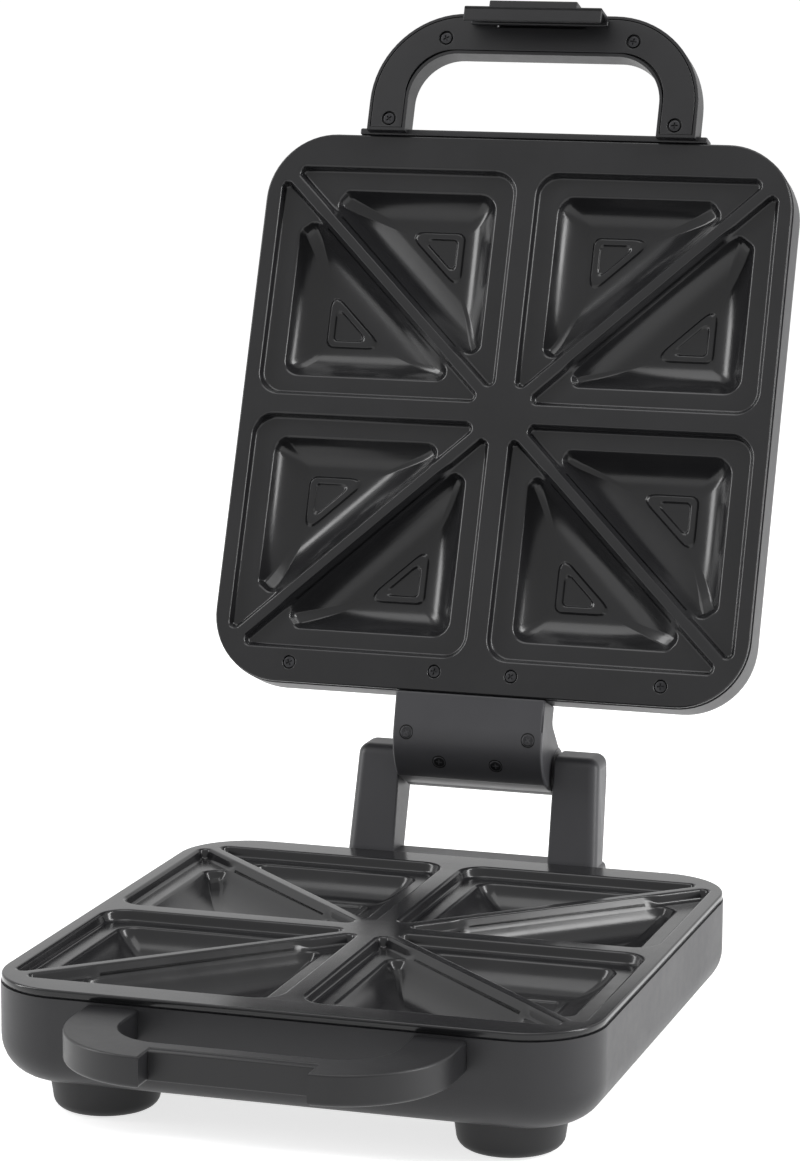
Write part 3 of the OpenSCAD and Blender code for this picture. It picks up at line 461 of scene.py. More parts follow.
def piece(name, bm, body, material, replaces=(), wall=0.0, sharp=50.0):
    """Finished object from a bmesh drawn in millimetres with the lid closed."""
    bmesh.ops.remove_doubles(bm, verts=bm.verts, dist=0.0005)
    for edge in bm.edges:
        edge.smooth = not (len(edge.link_faces) == 2 and edge.calc_face_angle(0) > math.radians(sharp))
    for face in bm.faces:
        face.smooth = True
    mesh = bpy.data.meshes.new(name)
    bm.to_mesh(mesh)
    bm.free()
    mesh.transform(PLACES[body])
    mesh.materials.append(MATERIALS[material])
    obj = bpy.data.objects.new(name, mesh)
    bpy.context.scene.collection.objects.link(obj)
    if wall:
        shell = obj.modifiers.new("Wall", "SOLIDIFY")
        shell.thickness = wall * MILLI
        shell.offset = -1.0
    even = obj.modifiers.new("Even shading", "WEIGHTED_NORMAL")
    even.keep_sharp = True
    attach(obj, body)
    if replaces:
        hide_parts(*replaces)
    return obj


# ---- cooking plates


def between(start, end, steps):
    """Directions between two angles, the short way round, without the ends."""
    turn = (end - start + math.pi) % (2 * math.pi) - math.pi
    return [start + turn * i / (steps + 1) for i in range(1, steps + 1)]


def smooth(value):
    """Eased step from 0 to 1."""
    value = min(1.0, max(0.0, value))
    return value * value * (3 - 2 * value)


def straight_flank(bm, run, out, ridge, first, last):
    """Beside a pocket, turns the step between the ridge and the pocket's slope into one straight flank."""
    fade, fall, shoulder = 9, 1.48, 0.45
    offsets = (0, 2, 4, 6, fade)
    for station in [first + d for d in offsets] + [last - d for d in reversed(offsets)]:
        slice_at(bm, (run * station).to_3d(), run.to_3d(), dist=1e-4)
    for vert in bm.verts:
        flat = vert.co.to_2d()
        away, station = out.dot(flat), run.dot(flat)
        weight = smooth((station - first) / fade) * smooth((last - station) / fade)
        if weight <= 0 or away > 16 or away < ridge + 0.05:
            continue
        shift = 0.8 * weight * smooth((away - ridge - 0.5) / 1.5) * (1 - smooth((away - 8) / 8))
        flank = min(-0.04, -fall * (away - shift - ridge - shoulder))
        vert.co += (out * -shift).to_3d()
        if vert.co.z < flank:
            vert.co.z += (flank - vert.co.z) * weight


def raised_mark(centre, slope, level):
    """Rounded triangular bead on a pocket's floor."""
    radius, corner = 8.6, 3.8
    leg = 2 * radius / (1 + slope - math.hypot(1, slope))
    x, y = centre[0] - radius, centre[1] + radius
    mark, face = outline([(x, y - leg * slope), (x, y), (x + leg, y)], [corner] * 3, z=level, segments=8)
    scale = 1.0
    # the bead's section: size of each ring as a share of the outline, and its height
    for target, rise in ((0.985, 0.08), (0.95, 0.42), (0.91, 0.82), (0.87, 1.04), (0.81, 1.1), (0.70, 1.1),
                         (0.64, 1.04), (0.60, 0.82), (0.56, 0.42), (0.525, 0.08), (0.51, 0.0)):
        shrink_to(mark, face, centre, target / scale, level + rise)
        scale = target
    return mark


def round_ends(bm, width, depth, corner, bend, run, out, ridge):
    """Rounds the two narrow ends of a recess, where its corners meet the ridge."""
    rise = ridge + bend
    for centre, sign in ((Vector((corner, corner)), -1), (Vector((width - corner, depth - corner)), 1)):
        side = math.sqrt((corner - bend) ** 2 - (rise - out.dot(centre)) ** 2)
        hub = run * (run.dot(centre) + sign * side) + out * rise
        towards = hub - centre
        for angle in between(math.atan2(-out.y, -out.x), math.atan2(towards.y, towards.x), 5):
            way = Vector((math.cos(angle), math.sin(angle)))
            slice_at(bm, (hub + way * bend).to_3d(), way.to_3d(), clear_outer=True)


def pocket(width, depth, lift, level, drop):
    """Sloping pan with its raised mark, and the two corners of its outline beside the ridge."""
    inset, blunt, even_inset = 10.0, 14.5, 3.8
    slope = depth / width
    far_x = (depth - inset - lift) / slope
    near_y = inset * slope + lift
    wide, deep = far_x - inset, depth - inset - near_y
    centre_r = (wide + deep - math.hypot(wide, deep)) / 2
    centre = (inset + centre_r, depth - inset - centre_r)
    near = (inset + blunt * 0.4, near_y + blunt * 0.4 * slope)
    far = (far_x - blunt * 0.57, depth - inset - blunt * 0.57 * slope)
    bm, top = outline(
        [(inset, near_y + blunt * 0.75), (inset, depth - inset), (far_x - blunt, depth - inset), far, near],
        [5.0, 9.0, 5.0, 5.0, 4.8], z=level)
    moves = arc_steps(2.2, 0, 56, 5) + arc_steps(20.0, 56, 6, 12)
    stretch = drop / sum(down for inward, down in moves)
    left = centre_r
    for inward, down in moves:
        level -= down * stretch
        if centre_r - left + inward < even_inset:
            step_in(bm, top, inward, -down * stretch)
        else:
            shrink_to(bm, top, centre, (left - inward) / left, level)
        left -= inward
    bmesh.ops.delete(bm, geom=[top], context="FACES_ONLY")
    add_mesh(bm, raised_mark(centre, slope, level))
    fill_between(bm, level)
    return bm, Vector(near), Vector(far)


def recess(width, depth, sizes):
    """One triangular recess above the diagonal of a quarter, with its pocket, as a bmesh."""
    corner, bend, tilt = 12.0, 4.3, 74
    shelf = -sizes.shelf_drop / MILLI
    ridge = sizes.ridge_half / MILLI
    bm, face = outline([(0, 0), (width, 0), (width, depth), (0, depth)], [corner] * 4, segments=12)
    length = math.hypot(width, depth)
    run = Vector((width / length, depth / length))
    out = Vector((-run.y, run.x))
    slice_at(bm, (out * ridge).to_3d(), out.to_3d(), clear_inner=True)
    round_ends(bm, width, depth, corner, bend, run, out, ridge)
    face = bm.faces[:][0]
    follow(bm, face, arc_steps(1.7, 0, tilt, 5), way=-1)
    # the straight part of the wall; both arcs together go down by 2.39
    step_in(bm, face, 0.6, shelf + 2.39)
    follow(bm, face, arc_steps(1.6, tilt, 0, 5), way=-1)
    low = face.verts[0].co.z
    bmesh.ops.delete(bm, geom=[face], context="FACES_ONLY")
    pan, near, far = pocket(width, depth, (ridge + 3.3) / out.y, low, sizes.pocket_drop / MILLI)
    add_mesh(bm, pan)
    fill_between(bm, low)
    straight_flank(bm, run, out, ridge, run.dot(near), run.dot(far))
    return bm


def cooking_plate(sizes, screws=()):
    """Cooking face of a plate with its cooking side up."""
    cross, side, end, edge_bend = 7.0, 5.5, 14.5, 0.9
    wide, deep = sizes.plate_width / MILLI, sizes.plate_depth / MILLI
    quarter_w = (wide - 2 * side - cross) / 2
    quarter_d = (deep - 2 * end - cross) / 2
    bm, rim = rectangle(wide / 2, deep / 2, sizes.plate_corner / MILLI, z=-RIM_EDGE)
    step_in(bm, rim, 0.0, RIM_EDGE - edge_bend)
    follow(bm, rim, arc_steps(edge_bend, 90, 0, 4))
    bmesh.ops.delete(bm, geom=[rim], context="FACES_ONLY")
    swap = Matrix(((0, 1, 0, 0), (1, 0, 0, 0), (0, 0, 1, 0), (0, 0, 0, 1)))
    quarter = recess(quarter_w, quarter_d, sizes)
    twin = recess(quarter_d, quarter_w, sizes)
    add_mesh(quarter, mirrored(twin, swap))
    twin.free()
    move(quarter, (cross / 2, cross / 2, 0))
    for axis in ((1, 0, 0), (0, 1, 0)):
        add_mesh(quarter, mirrored(quarter, Matrix.Scale(-1, 4, axis)))
    add_mesh(bm, quarter)
    for x, y in screws:
        hole, cap = disc(3.5, 24, (x, y, 0))
        follow(hole, cap, ((0.35, -0.12), (0.25, -0.5), (0.0, -1.2)))
        add_mesh(bm, hole)
    fill_between(bm, 0.0)
    return bm


class TOASTER_OT_cooking_plates(bpy.types.Operator):
    """Both cooking plates, with ridges, crust shelves and pockets"""

    bl_idname = "toaster.cooking_plates"
    bl_label = "Cooking plates"

    def execute(self, context):
        sizes = context.scene.toaster_sizes
        piece("lower_cooking_plate", cooking_plate(sizes), "base", "coated", ["base_plate"],
              wall=PLATE_WALL)
        screw_y = sizes.plate_depth / MILLI / 2 - PLATE_SCREW_EDGE
        upper = flipped(cooking_plate(sizes, [(x, screw_y) for x in PLATE_SCREW_X]), PLATE_GAP)
        piece("lid_cooking_plate", upper, "lid", "coated", ["lid_plate"], wall=PLATE_WALL)
        return {"FINISHED"}


# ---- housings


def tub(sizes, height, edge, recesses=()):
    """Housing with its open side up at z = 0 and a rounded bottom, closed inside and out."""
    wide = sizes.plate_width / MILLI / 2 + SHELL_LIP
    deep = sizes.plate_depth / MILLI / 2 + SHELL_LIP
    bm, floor = rectangle(wide, deep, sizes.plate_corner / MILLI + SHELL_LIP)
    wall, lip, ring = 2.4, 0.7, 0.25
    # the inside first, from the lip down, then the outside from the lip down
    inside = bm.copy()
    inner = inside.faces[:][0]
    follow(inside, inner, ((ring, 0.0), (wall - ring, 0.0), (0.0, -(height - edge - 1))))
    follow(inside, inner, arc_steps(edge - wall, 90, 0, 6), way=-1)
    bmesh.ops.reverse_faces(bm, faces=[floor])
    follow(bm, floor, ((0.0, lip), (0.0, height - edge - lip)))
    follow(bm, floor, arc_steps(edge, 90, 0, 10))
    if recesses:
        low = floor.verts[0].co.z
        bmesh.ops.delete(bm, geom=[floor], context="FACES_ONLY")
        for x, y in recesses:
            hole, cap = disc(4.3, 24, (x, y, low), up=False)
            follow(hole, cap, ((0.5, -0.4), (0.0, -2.8)))
            add_mesh(bm, hole)
        fill_between(bm, low, (0, 0, -1))
    add_mesh(bm, inside)
    return bm


class TOASTER_OT_housings(bpy.types.Operator):
    """Lower housing and lid housing"""

    bl_idname = "toaster.housings"
    bl_label = "Housings"

    def execute(self, context):
        sizes = context.scene.toaster_sizes
        ring = 60
        recesses = [(ring, 0), (0, ring), (-ring, 0), (0, -ring)]
        lower = tub(sizes, sizes.tub_height / MILLI - SEAM, 17.0, recesses)
        move(lower, (0, 0, -RIM_EDGE - SEAM))
        piece("lower_housing", lower, "base", "housing", ["base_housing"])
        upper = tub(sizes, sizes.lid_height / MILLI - PLATE_GAP - SEAM, 22.0)
        piece("lid_shell", flipped(upper, RIM_EDGE + PLATE_GAP + SEAM), "lid", "housing",
              ["lid_housing"])
        return {"FINISHED"}


# ---- handles and latch


def handle_loop(half, reach, back, side, front, corner, z, notch=None):
    """Flat face of a handle loop, from its root at back to its front at reach.

    side and front are the widths of the loop's arms and of its front bar.
    """
    inner_half, inner_reach = half - side, reach - front
    points = [(-half, -back), (-half, -reach)]
    radii = [0, corner]
    if notch:
        points += [(-notch[0], -reach), (-notch[0], -notch[1]), (notch[0], -notch[1]), (notch[0], -reach)]
        radii += [0, 0, 0, 0]
    points += [(half, -reach), (half, -back), (inner_half, -back), (inner_half, -inner_reach),
               (-inner_half, -inner_reach), (-inner_half, -back)]
    radii += [corner, 0, 0, WINDOW_CORNER, WINDOW_CORNER, 0]
    return outline(points, radii, z=z, segments=18)


def rib_front(reach):
    """Front of the catch rib in the lower handle."""
    return reach - CATCH_DEPTH + CATCH_RIB


def cover_screw_spots(reach):
    """Places of the four screws in the lid handle's cover."""
    return [(-44.9, -(reach - 12)), (44.9, -(reach - 12)), (-68.3, -136.8), (68.3, -136.8)]


class TOASTER_OT_lower_handle(bpy.types.Operator):
    """Loop handle of the base, with its catch recess"""

    bl_idname = "toaster.lower_handle"
    bl_label = "Lower handle"

    def execute(self, context):
        sizes = context.scene.toaster_sizes
        half, reach = sizes.handle_width / MILLI / 2, sizes.handle_reach / MILLI
        corner = sizes.handle_corner / MILLI
        low, top, root = -17.6, -4.9, -131
        bm, face = handle_loop(half, reach, 129.0, 22, 20.4, corner, low, notch=(33.6, reach - CATCH_DEPTH))
        thicken(bm, face, top - low)
        for z, width, segments in ((low, 2.4, 5), (top, 1.0, 3)):
            edges = [e for e in level_edges(sharp_edges(bm), z) if any(v.co.y < root for v in e.verts)]
            bevel_edges(bm, edges, width, segments)
        front = rib_front(reach)
        rib = box_mesh((-33.8, -front, low + 0.4), (33.8, -(front - 3.5), top - 0.5))
        bevel_edges(rib, [e for e in rib.edges if along(e, 0)], 0.7, 3)
        add_mesh(bm, rib)
        piece("lower_loop_handle", bm, "base", "handle", ["lower_handle"])
        return {"FINISHED"}


class TOASTER_OT_lid_handle(bpy.types.Operator):
    """Loop handle of the lid with its flange and screwed cover"""

    bl_idname = "toaster.lid_handle"
    bl_label = "Lid handle"

    side, front = 18.5, 19.4  # widths of the loop's arms and of its front bar
    steep = 69  # degrees, for the edges round a face

    def execute(self, context):
        sizes = context.scene.toaster_sizes
        half, reach = sizes.handle_width / MILLI / 2, sizes.handle_reach / MILLI
        corner = sizes.handle_corner / MILLI
        self.loop(half, reach, corner)
        self.cover(half, reach, corner)
        return {"FINISHED"}

    def loop(self, half, reach, corner):
        top, roof, back = 9.0, 6.8, 131.1
        widths = (self.side, self.front)
        body, face = handle_loop(half, reach, back, *widths, corner, roof, (21.8, reach - 11.5))
        thicken(body, face, HANDLE_FACE - roof)
        floor = max((f for f in body.faces if f.normal.z < -0.9), key=lambda f: f.calc_area())
        follow(body, floor, ((0.35, 0.0), (1.0, 0.0), (0.2, -0.3), (0.0, -2.7)))
        bevel_edges(body, level_edges(sharp_edges(body, self.steep), HANDLE_FACE), 0.5, 3)
        roof_mesh, face = handle_loop(half, reach, back, *widths, corner, roof)
        thicken(roof_mesh, face, top - roof)
        bevel_edges(roof_mesh, level_edges(sharp_edges(roof_mesh), top), 2.0, 5)
        add_mesh(body, roof_mesh)
        flange = box_mesh((-83.1, -133.3, PLATE_GAP), (83.1, -130.3, top))
        bevel_edges(flange, flange.edges, 0.8, 3)
        add_mesh(body, flange)
        piece("lid_loop_handle", body, "lid", "handle", ["lid_handle"])

    def cover(self, half, reach, corner):
        inset, back, hole, thickness, floor_depth, proud = 1.75, 132.6, 3.4, 2.8, 1.7, 0.12
        cover, face = handle_loop(half - inset, reach - inset, back, self.side - 2 * inset,
                                  self.front - 2 * inset, corner - inset, HANDLE_FACE, (22.4, reach - 6.4))
        bmesh.ops.delete(cover, geom=[face], context="FACES_ONLY")
        spots = cover_screw_spots(reach)
        for x, y in spots:
            bmesh.ops.create_circle(cover, cap_ends=False, radius=hole, segments=24,
                                    matrix=Matrix.Translation((x, y, HANDLE_FACE)))
        faces = fill_between(cover, HANDLE_FACE, (0, 0, -1))
        bmesh.ops.recalc_face_normals(cover, faces=cover.faces)
        if faces and faces[0].normal.z > 0:
            bmesh.ops.reverse_faces(cover, faces=cover.faces)
        rims = [e for e in cover.edges if len(e.link_faces) == 1]
        made = bmesh.ops.extrude_edge_only(cover, edges=rims)["geom"]
        move(cover, (0, 0, thickness), verts_in(made))
        for x, y in spots:
            bmesh.ops.create_circle(cover, cap_ends=True, radius=hole, segments=24,
                                    matrix=Matrix.Translation((x, y, HANDLE_FACE + floor_depth)))
        bevel_edges(cover, level_edges(sharp_edges(cover, self.steep), HANDLE_FACE), 0.35, 2)
        move(cover, (0, 0, -proud))
        piece("handle_cover_plate", cover, "lid", "handle", ["lid_handle_cover"])


class TOASTER_OT_latch(bpy.types.Operator):
    """Swinging latch on the lid handle"""

    bl_idname = "toaster.latch_piece"
    bl_label = "Latch"

    def execute(self, context):
        reach = context.scene.toaster_sizes.handle_reach / MILLI
        hook_back = rib_front(reach) + 1.3
        front = hook_back + 7.0
        wing, middle, bottom, top = 32.8, 21, -20.5, 4.9
        bm = box_mesh((-wing, -front, bottom), (wing, -(front - 2.2), -5.5))
        bevel_edges(bm, bm.edges, 0.6, 3)
        # the hook, the upper edge of the wings, the middle panel and the block that the pin runs through
        for low, high in (((-wing, -front, bottom), (wing, -hook_back, -18.3)),
                          ((-wing, -front, -7.7), (wing, -(front - 4.4), -5.5)),
                          ((-middle, -(reach + 1.2), bottom), (middle, -(front - 1.0), top)),
                          ((-middle, -(front - 0.5), -0.4), (middle, -(reach - 8.2), top))):
            part = box_mesh(low, high)
            bevel_edges(part, part.edges, 0.6, 3)
            add_mesh(bm, part)
        piece("swing_latch", bm, "latch", "handle", ["latch"])
        return {"FINISHED"}


# ---- hinge


class TOASTER_OT_hinge_bracket(bpy.types.Operator):
    """Bracket behind the base with its two posts"""

    bl_idname = "toaster.hinge_bracket"
    bl_label = "Hinge bracket"

    def execute(self, context):
        sizes = context.scene.toaster_sizes
        inner, height = sizes.arm_half / MILLI + POST_CLEARANCE, sizes.post_height / MILLI
        deep = sizes.plate_depth / MILLI / 2
        back = HINGE_Y + 8
        width, taper, lean, foot, waist, base_depth = 20.4, 2, 9.5, -3.5, 34, 23
        post = box_mesh((0, 0, 0), (1, 1, 1))
        for vert in post.verts:
            out, rear, up = (round(c) for c in vert.co)
            z = height if up else foot
            outer = inner + width + taper * (height - z) / height
            rear_y = back if up else deep + base_depth
            front_y = deep + 6.3 + lean * z / height
            vert.co = (outer if out else inner, rear_y if rear else front_y, z)
        cut = slice_at(post, (0, 0, waist), (0, 0, 1))
        for vert in {v for g in cut["geom_cut"] if isinstance(g, bmesh.types.BMEdge) for v in g.verts}:
            if vert.co.y > deep + 18:
                vert.co.y = back
        bends = [e for e in post.edges if len(e.link_faces) == 2 and e.calc_face_angle(0) > 0.7
                 and max(v.co.z for v in e.verts) > 0 and not all(v.co.x < inner + 1 for v in e.verts)]
        bevel_edges(post, bends, 4.6, 7)
        inside = [e for e in sharp_edges(post) if all(v.co.x < inner + 0.01 for v in e.verts)
                  and max(v.co.z for v in e.verts) > 0]
        bevel_edges(post, inside, 1.0, 3)
        bm = mirrored(post, Matrix.Scale(-1, 4, (1, 0, 0)))
        add_mesh(bm, post)
        half = inner + width + 3.3
        block = box_mesh((-half, deep + SHELL_LIP, -30.3), (half, deep + base_depth, -2.5))
        bevel_edges(block, [e for e in block.edges if not all(v.co.y < deep + 1 for v in e.verts)], 2.5, 5)
        add_mesh(bm, block)
        piece("post_bracket", bm, "base", "hinge", ["hinge_bracket"])
        return {"FINISHED"}


class TOASTER_OT_hinge_arm(bpy.types.Operator):
    """Arm of the lid between the posts, its barrel and its screwed cover"""

    bl_idname = "toaster.hinge_arm"
    bl_label = "Hinge arm"

    def execute(self, context):
        sizes = context.scene.toaster_sizes
        half = sizes.arm_half / MILLI
        front = sizes.plate_depth / MILLI / 2 + SHELL_LIP
        belly, gap = NOSE_Y + 23.4, 0.3
        turned = Matrix(((0, 0, 1, 0), (1, 0, 0, 0), (0, 1, 0, 0), (0, 0, 0, 1)))
        side, face = outline(
            [(front, ARM_LOW + 1.5), (belly, ARM_LOW + 1.2), (belly, HINGE_Z), (HINGE_Y, HINGE_Z + 2),
             (HINGE_Y - 10.7, HINGE_Z), (NOSE_Y - 6, 20), (front, 20)],
            [0, 23.0, 0, 0, 0, 4, 0], segments=20)
        thicken(side, face, 2 * (half - gap))
        move(side, (0, 0, -half + gap))
        bmesh.ops.transform(side, matrix=turned, verts=side.verts)
        bmesh.ops.recalc_face_normals(side, faces=side.faces)
        bevel_edges(side, [e for e in sharp_edges(side) if not along(e, 0, 0.5)], 0.8, 3)
        tube = bmesh.new()
        bmesh.ops.create_cone(tube, cap_ends=True, cap_tris=False, segments=48, radius1=BARREL_RADIUS,
                              radius2=BARREL_RADIUS, depth=2 * half - 0.2,
                              matrix=Matrix.Translation((0, HINGE_Y, HINGE_Z))
                              @ Matrix.Rotation(math.pi / 2, 4, "Y"))
        bevel_edges(tube, sharp_edges(tube), 0.8, 3)
        add_mesh(side, tube)
        piece("hinge_arm_core", side, "lid", "hinge", ["hinge_arm"])

        cover = box_mesh((-half, front, ARM_LOW), (half, NOSE_Y, ARM_LOW + 3))
        for vert in cover.verts:
            if vert.co.y < front + 0.1:
                vert.co.z -= 1.6
        end = next(f for f in cover.faces if f.calc_center_median().y > NOSE_Y - 0.1)
        nose = Vector((0, NOSE_Y, NOSE_Z))
        bmesh.ops.spin(cover, geom=[end], cent=nose, axis=(1, 0, 0), dvec=(0, 0, 0),
                       angle=math.radians(70), steps=20, use_duplicate=False)
        bmesh.ops.recalc_face_normals(cover, faces=cover.faces)
        bevel_edges(cover, [e for e in sharp_edges(cover, 60) if not along(e, 0, 0.5)
                            or (e.verts[0].co - nose).length > NOSE_RADIUS - 0.5], 1.1, 4)
        piece("arm_cover_skin", cover, "lid", "hinge", ["arm_cover"])
        return {"FINISHED"}


# ---- feet and screws


class TOASTER_OT_feet(bpy.types.Operator):
    """Four round feet"""

    bl_idname = "toaster.feet"
    bl_label = "Feet"

    def execute(self, context):
        low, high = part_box("feet")
        bottom = (low.z - REST_SHIFT.z) / MILLI
        top = (high.z - REST_SHIFT.z) / MILLI
        radius, bend = 23.3, 5.0
        bm = bmesh.new()
        for x, y in ((-85.4, -91.2), (85.4, -91.2), (-85.4, 93), (85.4, 93)):
            foot, cap = disc(radius, 56, (x, y, top), up=False)
            step_in(foot, cap, 1.5, top - bottom - bend)
            follow(foot, cap, arc_steps(bend, 90, 0, 7))
            follow(foot, cap, ((2.3, 0.0), (0.3, -0.3), (0.0, -0.9)))
            add_mesh(bm, foot)
        piece("round_feet", bm, "base", "foot", ["feet"])
        return {"FINISHED"}


def screw_mesh():
    """Pan screw with a cross recess, head top at z = 0 and facing up."""
    radius, height, bend = 2.75, 0.9, 0.55
    bm, cap = disc(radius, 24, (0, 0, -height))
    step_in(bm, cap, 0.0, height - bend)
    follow(bm, cap, arc_steps(bend, 90, 0, 4))
    top = cap.verts[0].co.z
    bmesh.ops.delete(bm, geom=[cap], context="FACES_ONLY")
    a, b = 0.33, 1.5
    cross = [(b, a), (a, a), (a, b), (-a, b), (-a, a), (-b, a),
             (-b, -a), (-a, -a), (-a, -b), (a, -b), (a, -a), (b, -a)]
    slot, face = outline(cross, [0] * 12, z=top)
    step_in(slot, face, 0.12, -0.75)
    add_mesh(bm, slot)
    fill_between(bm, top)
    return bm


class TOASTER_OT_screws(bpy.types.Operator):
    """Small cross-head screws of the lid plate, the handle cover and the arm cover"""

    bl_idname = "toaster.screws"
    bl_label = "Small screws"

    def execute(self, context):
        sizes = context.scene.toaster_sizes
        reach = sizes.handle_reach / MILLI
        deep = sizes.plate_depth / MILLI / 2
        down = Matrix.Rotation(math.pi, 4, "X")
        groups = {
            "plate_screw_heads": ("lid_plate_screws", [
                Matrix.Translation((x, deep - PLATE_SCREW_EDGE, PLATE_GAP + 0.35)) @ down
                for x in PLATE_SCREW_X]),
            "cover_screw_heads": ("cover_screws", [
                Matrix.Translation((x, y, HANDLE_FACE + 0.3)) @ down for x, y in cover_screw_spots(reach)]),
            "arm_screw_heads": ("arm_screws", [
                Matrix.Translation((side * x, NOSE_Y, NOSE_Z)) @ Matrix.Rotation(math.radians(turn), 4, "X")
                @ Matrix.Translation((0, 0, -NOSE_RADIUS - 0.1)) @ down
                for side in (-1, 1) for x, turn in ((28.5, 10.5), (13.3, 42))]),
        }
        for name, (node, places) in groups.items():
            bm = bmesh.new()
            for index, place in enumerate(places):
                one = screw_mesh()
                turn = Matrix.Rotation(0.5 + 0.9 * index, 4, "Z")
                bmesh.ops.transform(one, matrix=place @ turn, verts=one.verts)
                add_mesh(bm, one)
            piece(name, bm, "lid", "dark_metal", [node], sharp=40)
        # rings round the arm screws, in the near-black material that paints their shade
        seats = bmesh.new()
        for place in groups["arm_screw_heads"][1]:
            ring, cap = disc(3.35, 28, (0, 0, -1.2))
            follow(ring, cap, ((0.0, 1.0), (0.2, 0.12), (0.25, 0.0), (0.15, -0.5)))
            bmesh.ops.transform(ring, matrix=place, verts=ring.verts)
            add_mesh(seats, ring)
        piece("arm_screw_seats", seats, "lid", "seat")
        return {"FINISHED"}


# ---- carried-over nodes

FINISHES = {
    "steel": ("base_plate_screws", "foot_screws", "lower_handle_screws", "bracket_screws",
              "lid_handle_screws", "arm_bolts", "latch_washers"),
    "pin": ("hinge_shaft", "latch_pin"),
    "brass": ("hinge_bushes",),
    "heater": ("base_heater", "lid_heater"),
    "sheet": ("base_heater_clamps", "base_heat_shield", "lid_heater_clamps", "lid_heat_shield",
              "shield_standoffs"),
    "ceramic": ("thermostat", "base_thermal_fuse", "terminal_block", "lid_thermal_fuse", "lamp_holders"),
    "rubber": ("cord_gland", "foot_pads"),
    "red": ("power_lens",),
    "green": ("ready_lens",),
}


class TOASTER_OT_inner_parts(bpy.types.Operator):
    """Finishes for the pieces that keep their frame shape"""

    bl_idname = "toaster.inner_parts"
    bl_label = "Inner parts"

    def execute(self, context):
        for finish, names in FINISHES.items():
            for name in names:
                materials = frame["nodes"][name].data.materials
                if not materials:
                    materials.append(MATERIALS[finish])
                for index in range(len(materials)):
                    materials[index] = MATERIALS[finish]
        return {"FINISHED"}


# ---- stage


def split_light(nodes, links, unseen, seen, target):
    """Surface with one shader for the camera, reflections and glass, and one for all other light."""
    path = nodes.new("ShaderNodeLightPath")
    total = path.outputs["Is Camera Ray"]
    for other in ("Is Glossy Ray", "Is Transmission Ray"):
        step = node_at(nodes, "ShaderNodeMath", operation="MAXIMUM")
        links.new(total, step.inputs[0])
        links.new(path.outputs[other], step.inputs[1])
        total = step.outputs[0]
    mix = nodes.new("ShaderNodeMixShader")
    links.new(total, mix.inputs["Fac"])
    links.new(unseen.outputs[0], mix.inputs[1])
    links.new(seen.outputs[0], mix.inputs[2])
    links.new(mix.outputs[0], target.inputs["Surface"])


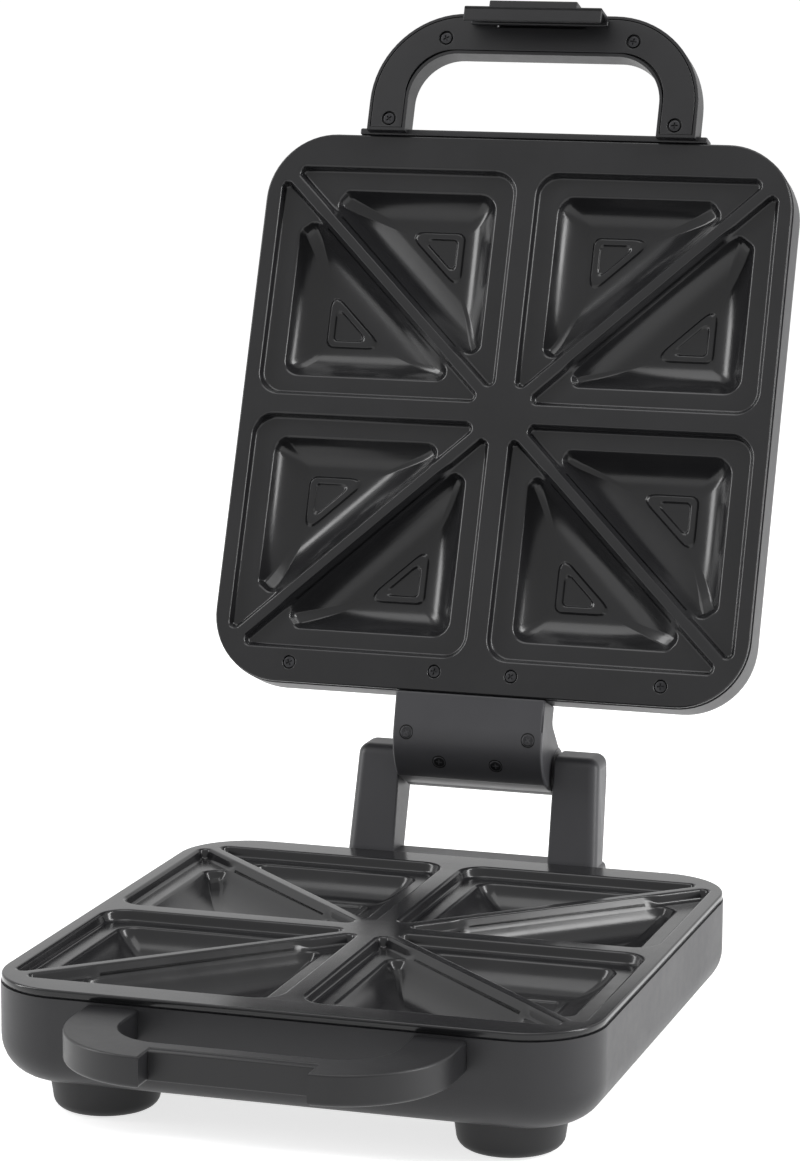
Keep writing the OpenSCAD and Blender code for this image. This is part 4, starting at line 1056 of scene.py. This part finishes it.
class TOASTER_OT_stage(bpy.types.Operator):
    """Floor, room light, lamps and camera"""

    bl_idname = "toaster.stage"
    bl_label = "Stage"

    def execute(self, context):
        stage = context.scene.toaster_stage
        self.floor(stage)
        self.room(context, stage)
        aim = Vector((0.0, 0.0, 0.2))
        self.lamp("Top", (-0.2, -0.3, 2.6), aim, (1.5, 1.5), stage.key_power)
        self.lamp("Left", (-1.8, -0.5, 1.0), aim, (0.42, 2.0), stage.left_power)
        self.lamp("Right", (1.8, 0.1, 1.0), aim, (0.42, 2.0), stage.right_power)
        self.camera(context, stage)
        context.scene.view_settings.view_transform = "Standard"
        return {"FINISHED"}

    def floor(self, stage):
        mesh = bpy.data.meshes.new("floor")
        bm = bmesh.new()
        bmesh.ops.create_grid(bm, x_segments=1, y_segments=1, size=30.0)
        bm.to_mesh(mesh)
        bm.free()
        floor = bpy.data.objects.new("floor", mesh)
        bpy.context.scene.collection.objects.link(floor)
        material, nodes, links, shader = tree("Pale floor")
        nodes.remove(shader)
        plain = nodes.new("ShaderNodeBsdfDiffuse")
        plain.inputs["Color"].default_value = (0.82, 0.82, 0.82, 1)
        glow = nodes.new("ShaderNodeEmission")
        glow.inputs["Strength"].default_value = stage.floor_glow
        both = nodes.new("ShaderNodeAddShader")
        links.new(plain.outputs[0], both.inputs[0])
        links.new(glow.outputs[0], both.inputs[1])
        split_light(nodes, links, plain, both, nodes["Material Output"])
        mesh.materials.append(material)

    def room(self, context, stage):
        world = bpy.data.worlds.new("Room")
        world.use_nodes = True
        nodes, links = world.node_tree.nodes, world.node_tree.links
        dim, white = nodes["Background"], nodes.new("ShaderNodeBackground")
        for background, strength in ((dim, stage.world_level), (white, 1.0)):
            background.inputs["Color"].default_value = (1, 1, 1, 1)
            background.inputs["Strength"].default_value = strength
        split_light(nodes, links, dim, white, nodes["World Output"])
        context.scene.world = world

    def lamp(self, name, place, aim, size, power):
        data = bpy.data.lights.new(name, "AREA")
        data.shape = "RECTANGLE"
        data.size, data.size_y = size
        data.energy = power
        lamp = bpy.data.objects.new(name, data)
        lamp.location = place
        lamp.rotation_euler = (aim - Vector(place)).to_track_quat("-Z", "Y").to_euler()
        bpy.context.scene.collection.objects.link(lamp)

    def camera(self, context, stage):
        azimuth, height, roll = stage.camera_azimuth, stage.camera_height, stage.camera_roll
        right = Vector((math.cos(azimuth), math.sin(azimuth), 0))
        back = Vector((math.sin(azimuth) * math.cos(height), -math.cos(azimuth) * math.cos(height),
                       math.sin(height)))
        up = back.cross(right)
        turned = right * math.cos(roll) + up * math.sin(roll)
        risen = up * math.cos(roll) - right * math.sin(roll)
        aim = BASE_PLACE @ Vector((10.15, 128.61, 130.77))
        data = bpy.data.cameras.new("Camera")
        data.lens = stage.camera_lens
        data.sensor_width = 36.0
        data.shift_x, data.shift_y = stage.camera_shift
        data.clip_end = 100.0
        camera = bpy.data.objects.new("Camera", data)
        camera.matrix_world = Matrix((
            (turned.x, risen.x, back.x, 0), (turned.y, risen.y, back.y, 0), (turned.z, risen.z, back.z, 0),
            (0, 0, 0, 1)))
        camera.location = aim + back * stage.camera_distance
        context.scene.collection.objects.link(camera)
        context.scene.camera = camera


# ---- add-on

STEPS = (
    TOASTER_OT_stage, TOASTER_OT_cooking_plates, TOASTER_OT_housings, TOASTER_OT_lower_handle,
    TOASTER_OT_lid_handle, TOASTER_OT_latch, TOASTER_OT_hinge_bracket, TOASTER_OT_hinge_arm, TOASTER_OT_feet,
    TOASTER_OT_screws, TOASTER_OT_inner_parts,
)


class TOASTER_PT_panel(bpy.types.Panel):
    bl_idname = "TOASTER_PT_panel"
    bl_label = "Toaster"
    bl_space_type = "VIEW_3D"
    bl_region_type = "UI"
    bl_category = "Toaster"

    def draw(self, context):
        for group in (context.scene.toaster_sizes, context.scene.toaster_finish, context.scene.toaster_stage):
            box = self.layout.box()
            for name in group.__annotations__:
                box.prop(group, name)
        for step in STEPS:
            self.layout.operator(step.bl_idname)


GROUPS = {"toaster_sizes": ToasterSizes, "toaster_finish": ToasterFinish, "toaster_stage": ToasterStage}


def register():
    for name, group in GROUPS.items():
        bpy.utils.register_class(group)
        setattr(bpy.types.Scene, name, PointerProperty(type=group))
    for step in (*STEPS, TOASTER_PT_panel):
        bpy.utils.register_class(step)


def unregister():
    for step in (TOASTER_PT_panel, *reversed(STEPS)):
        bpy.utils.unregister_class(step)
    for name, group in GROUPS.items():
        delattr(bpy.types.Scene, name)
        bpy.utils.unregister_class(group)


def main():
    register()
    build_materials(bpy.context.scene.toaster_finish)
    for step in STEPS:
        group, name = step.bl_idname.split(".")
        getattr(getattr(bpy.ops, group), name)()


if __name__ == "__main__":
    main()
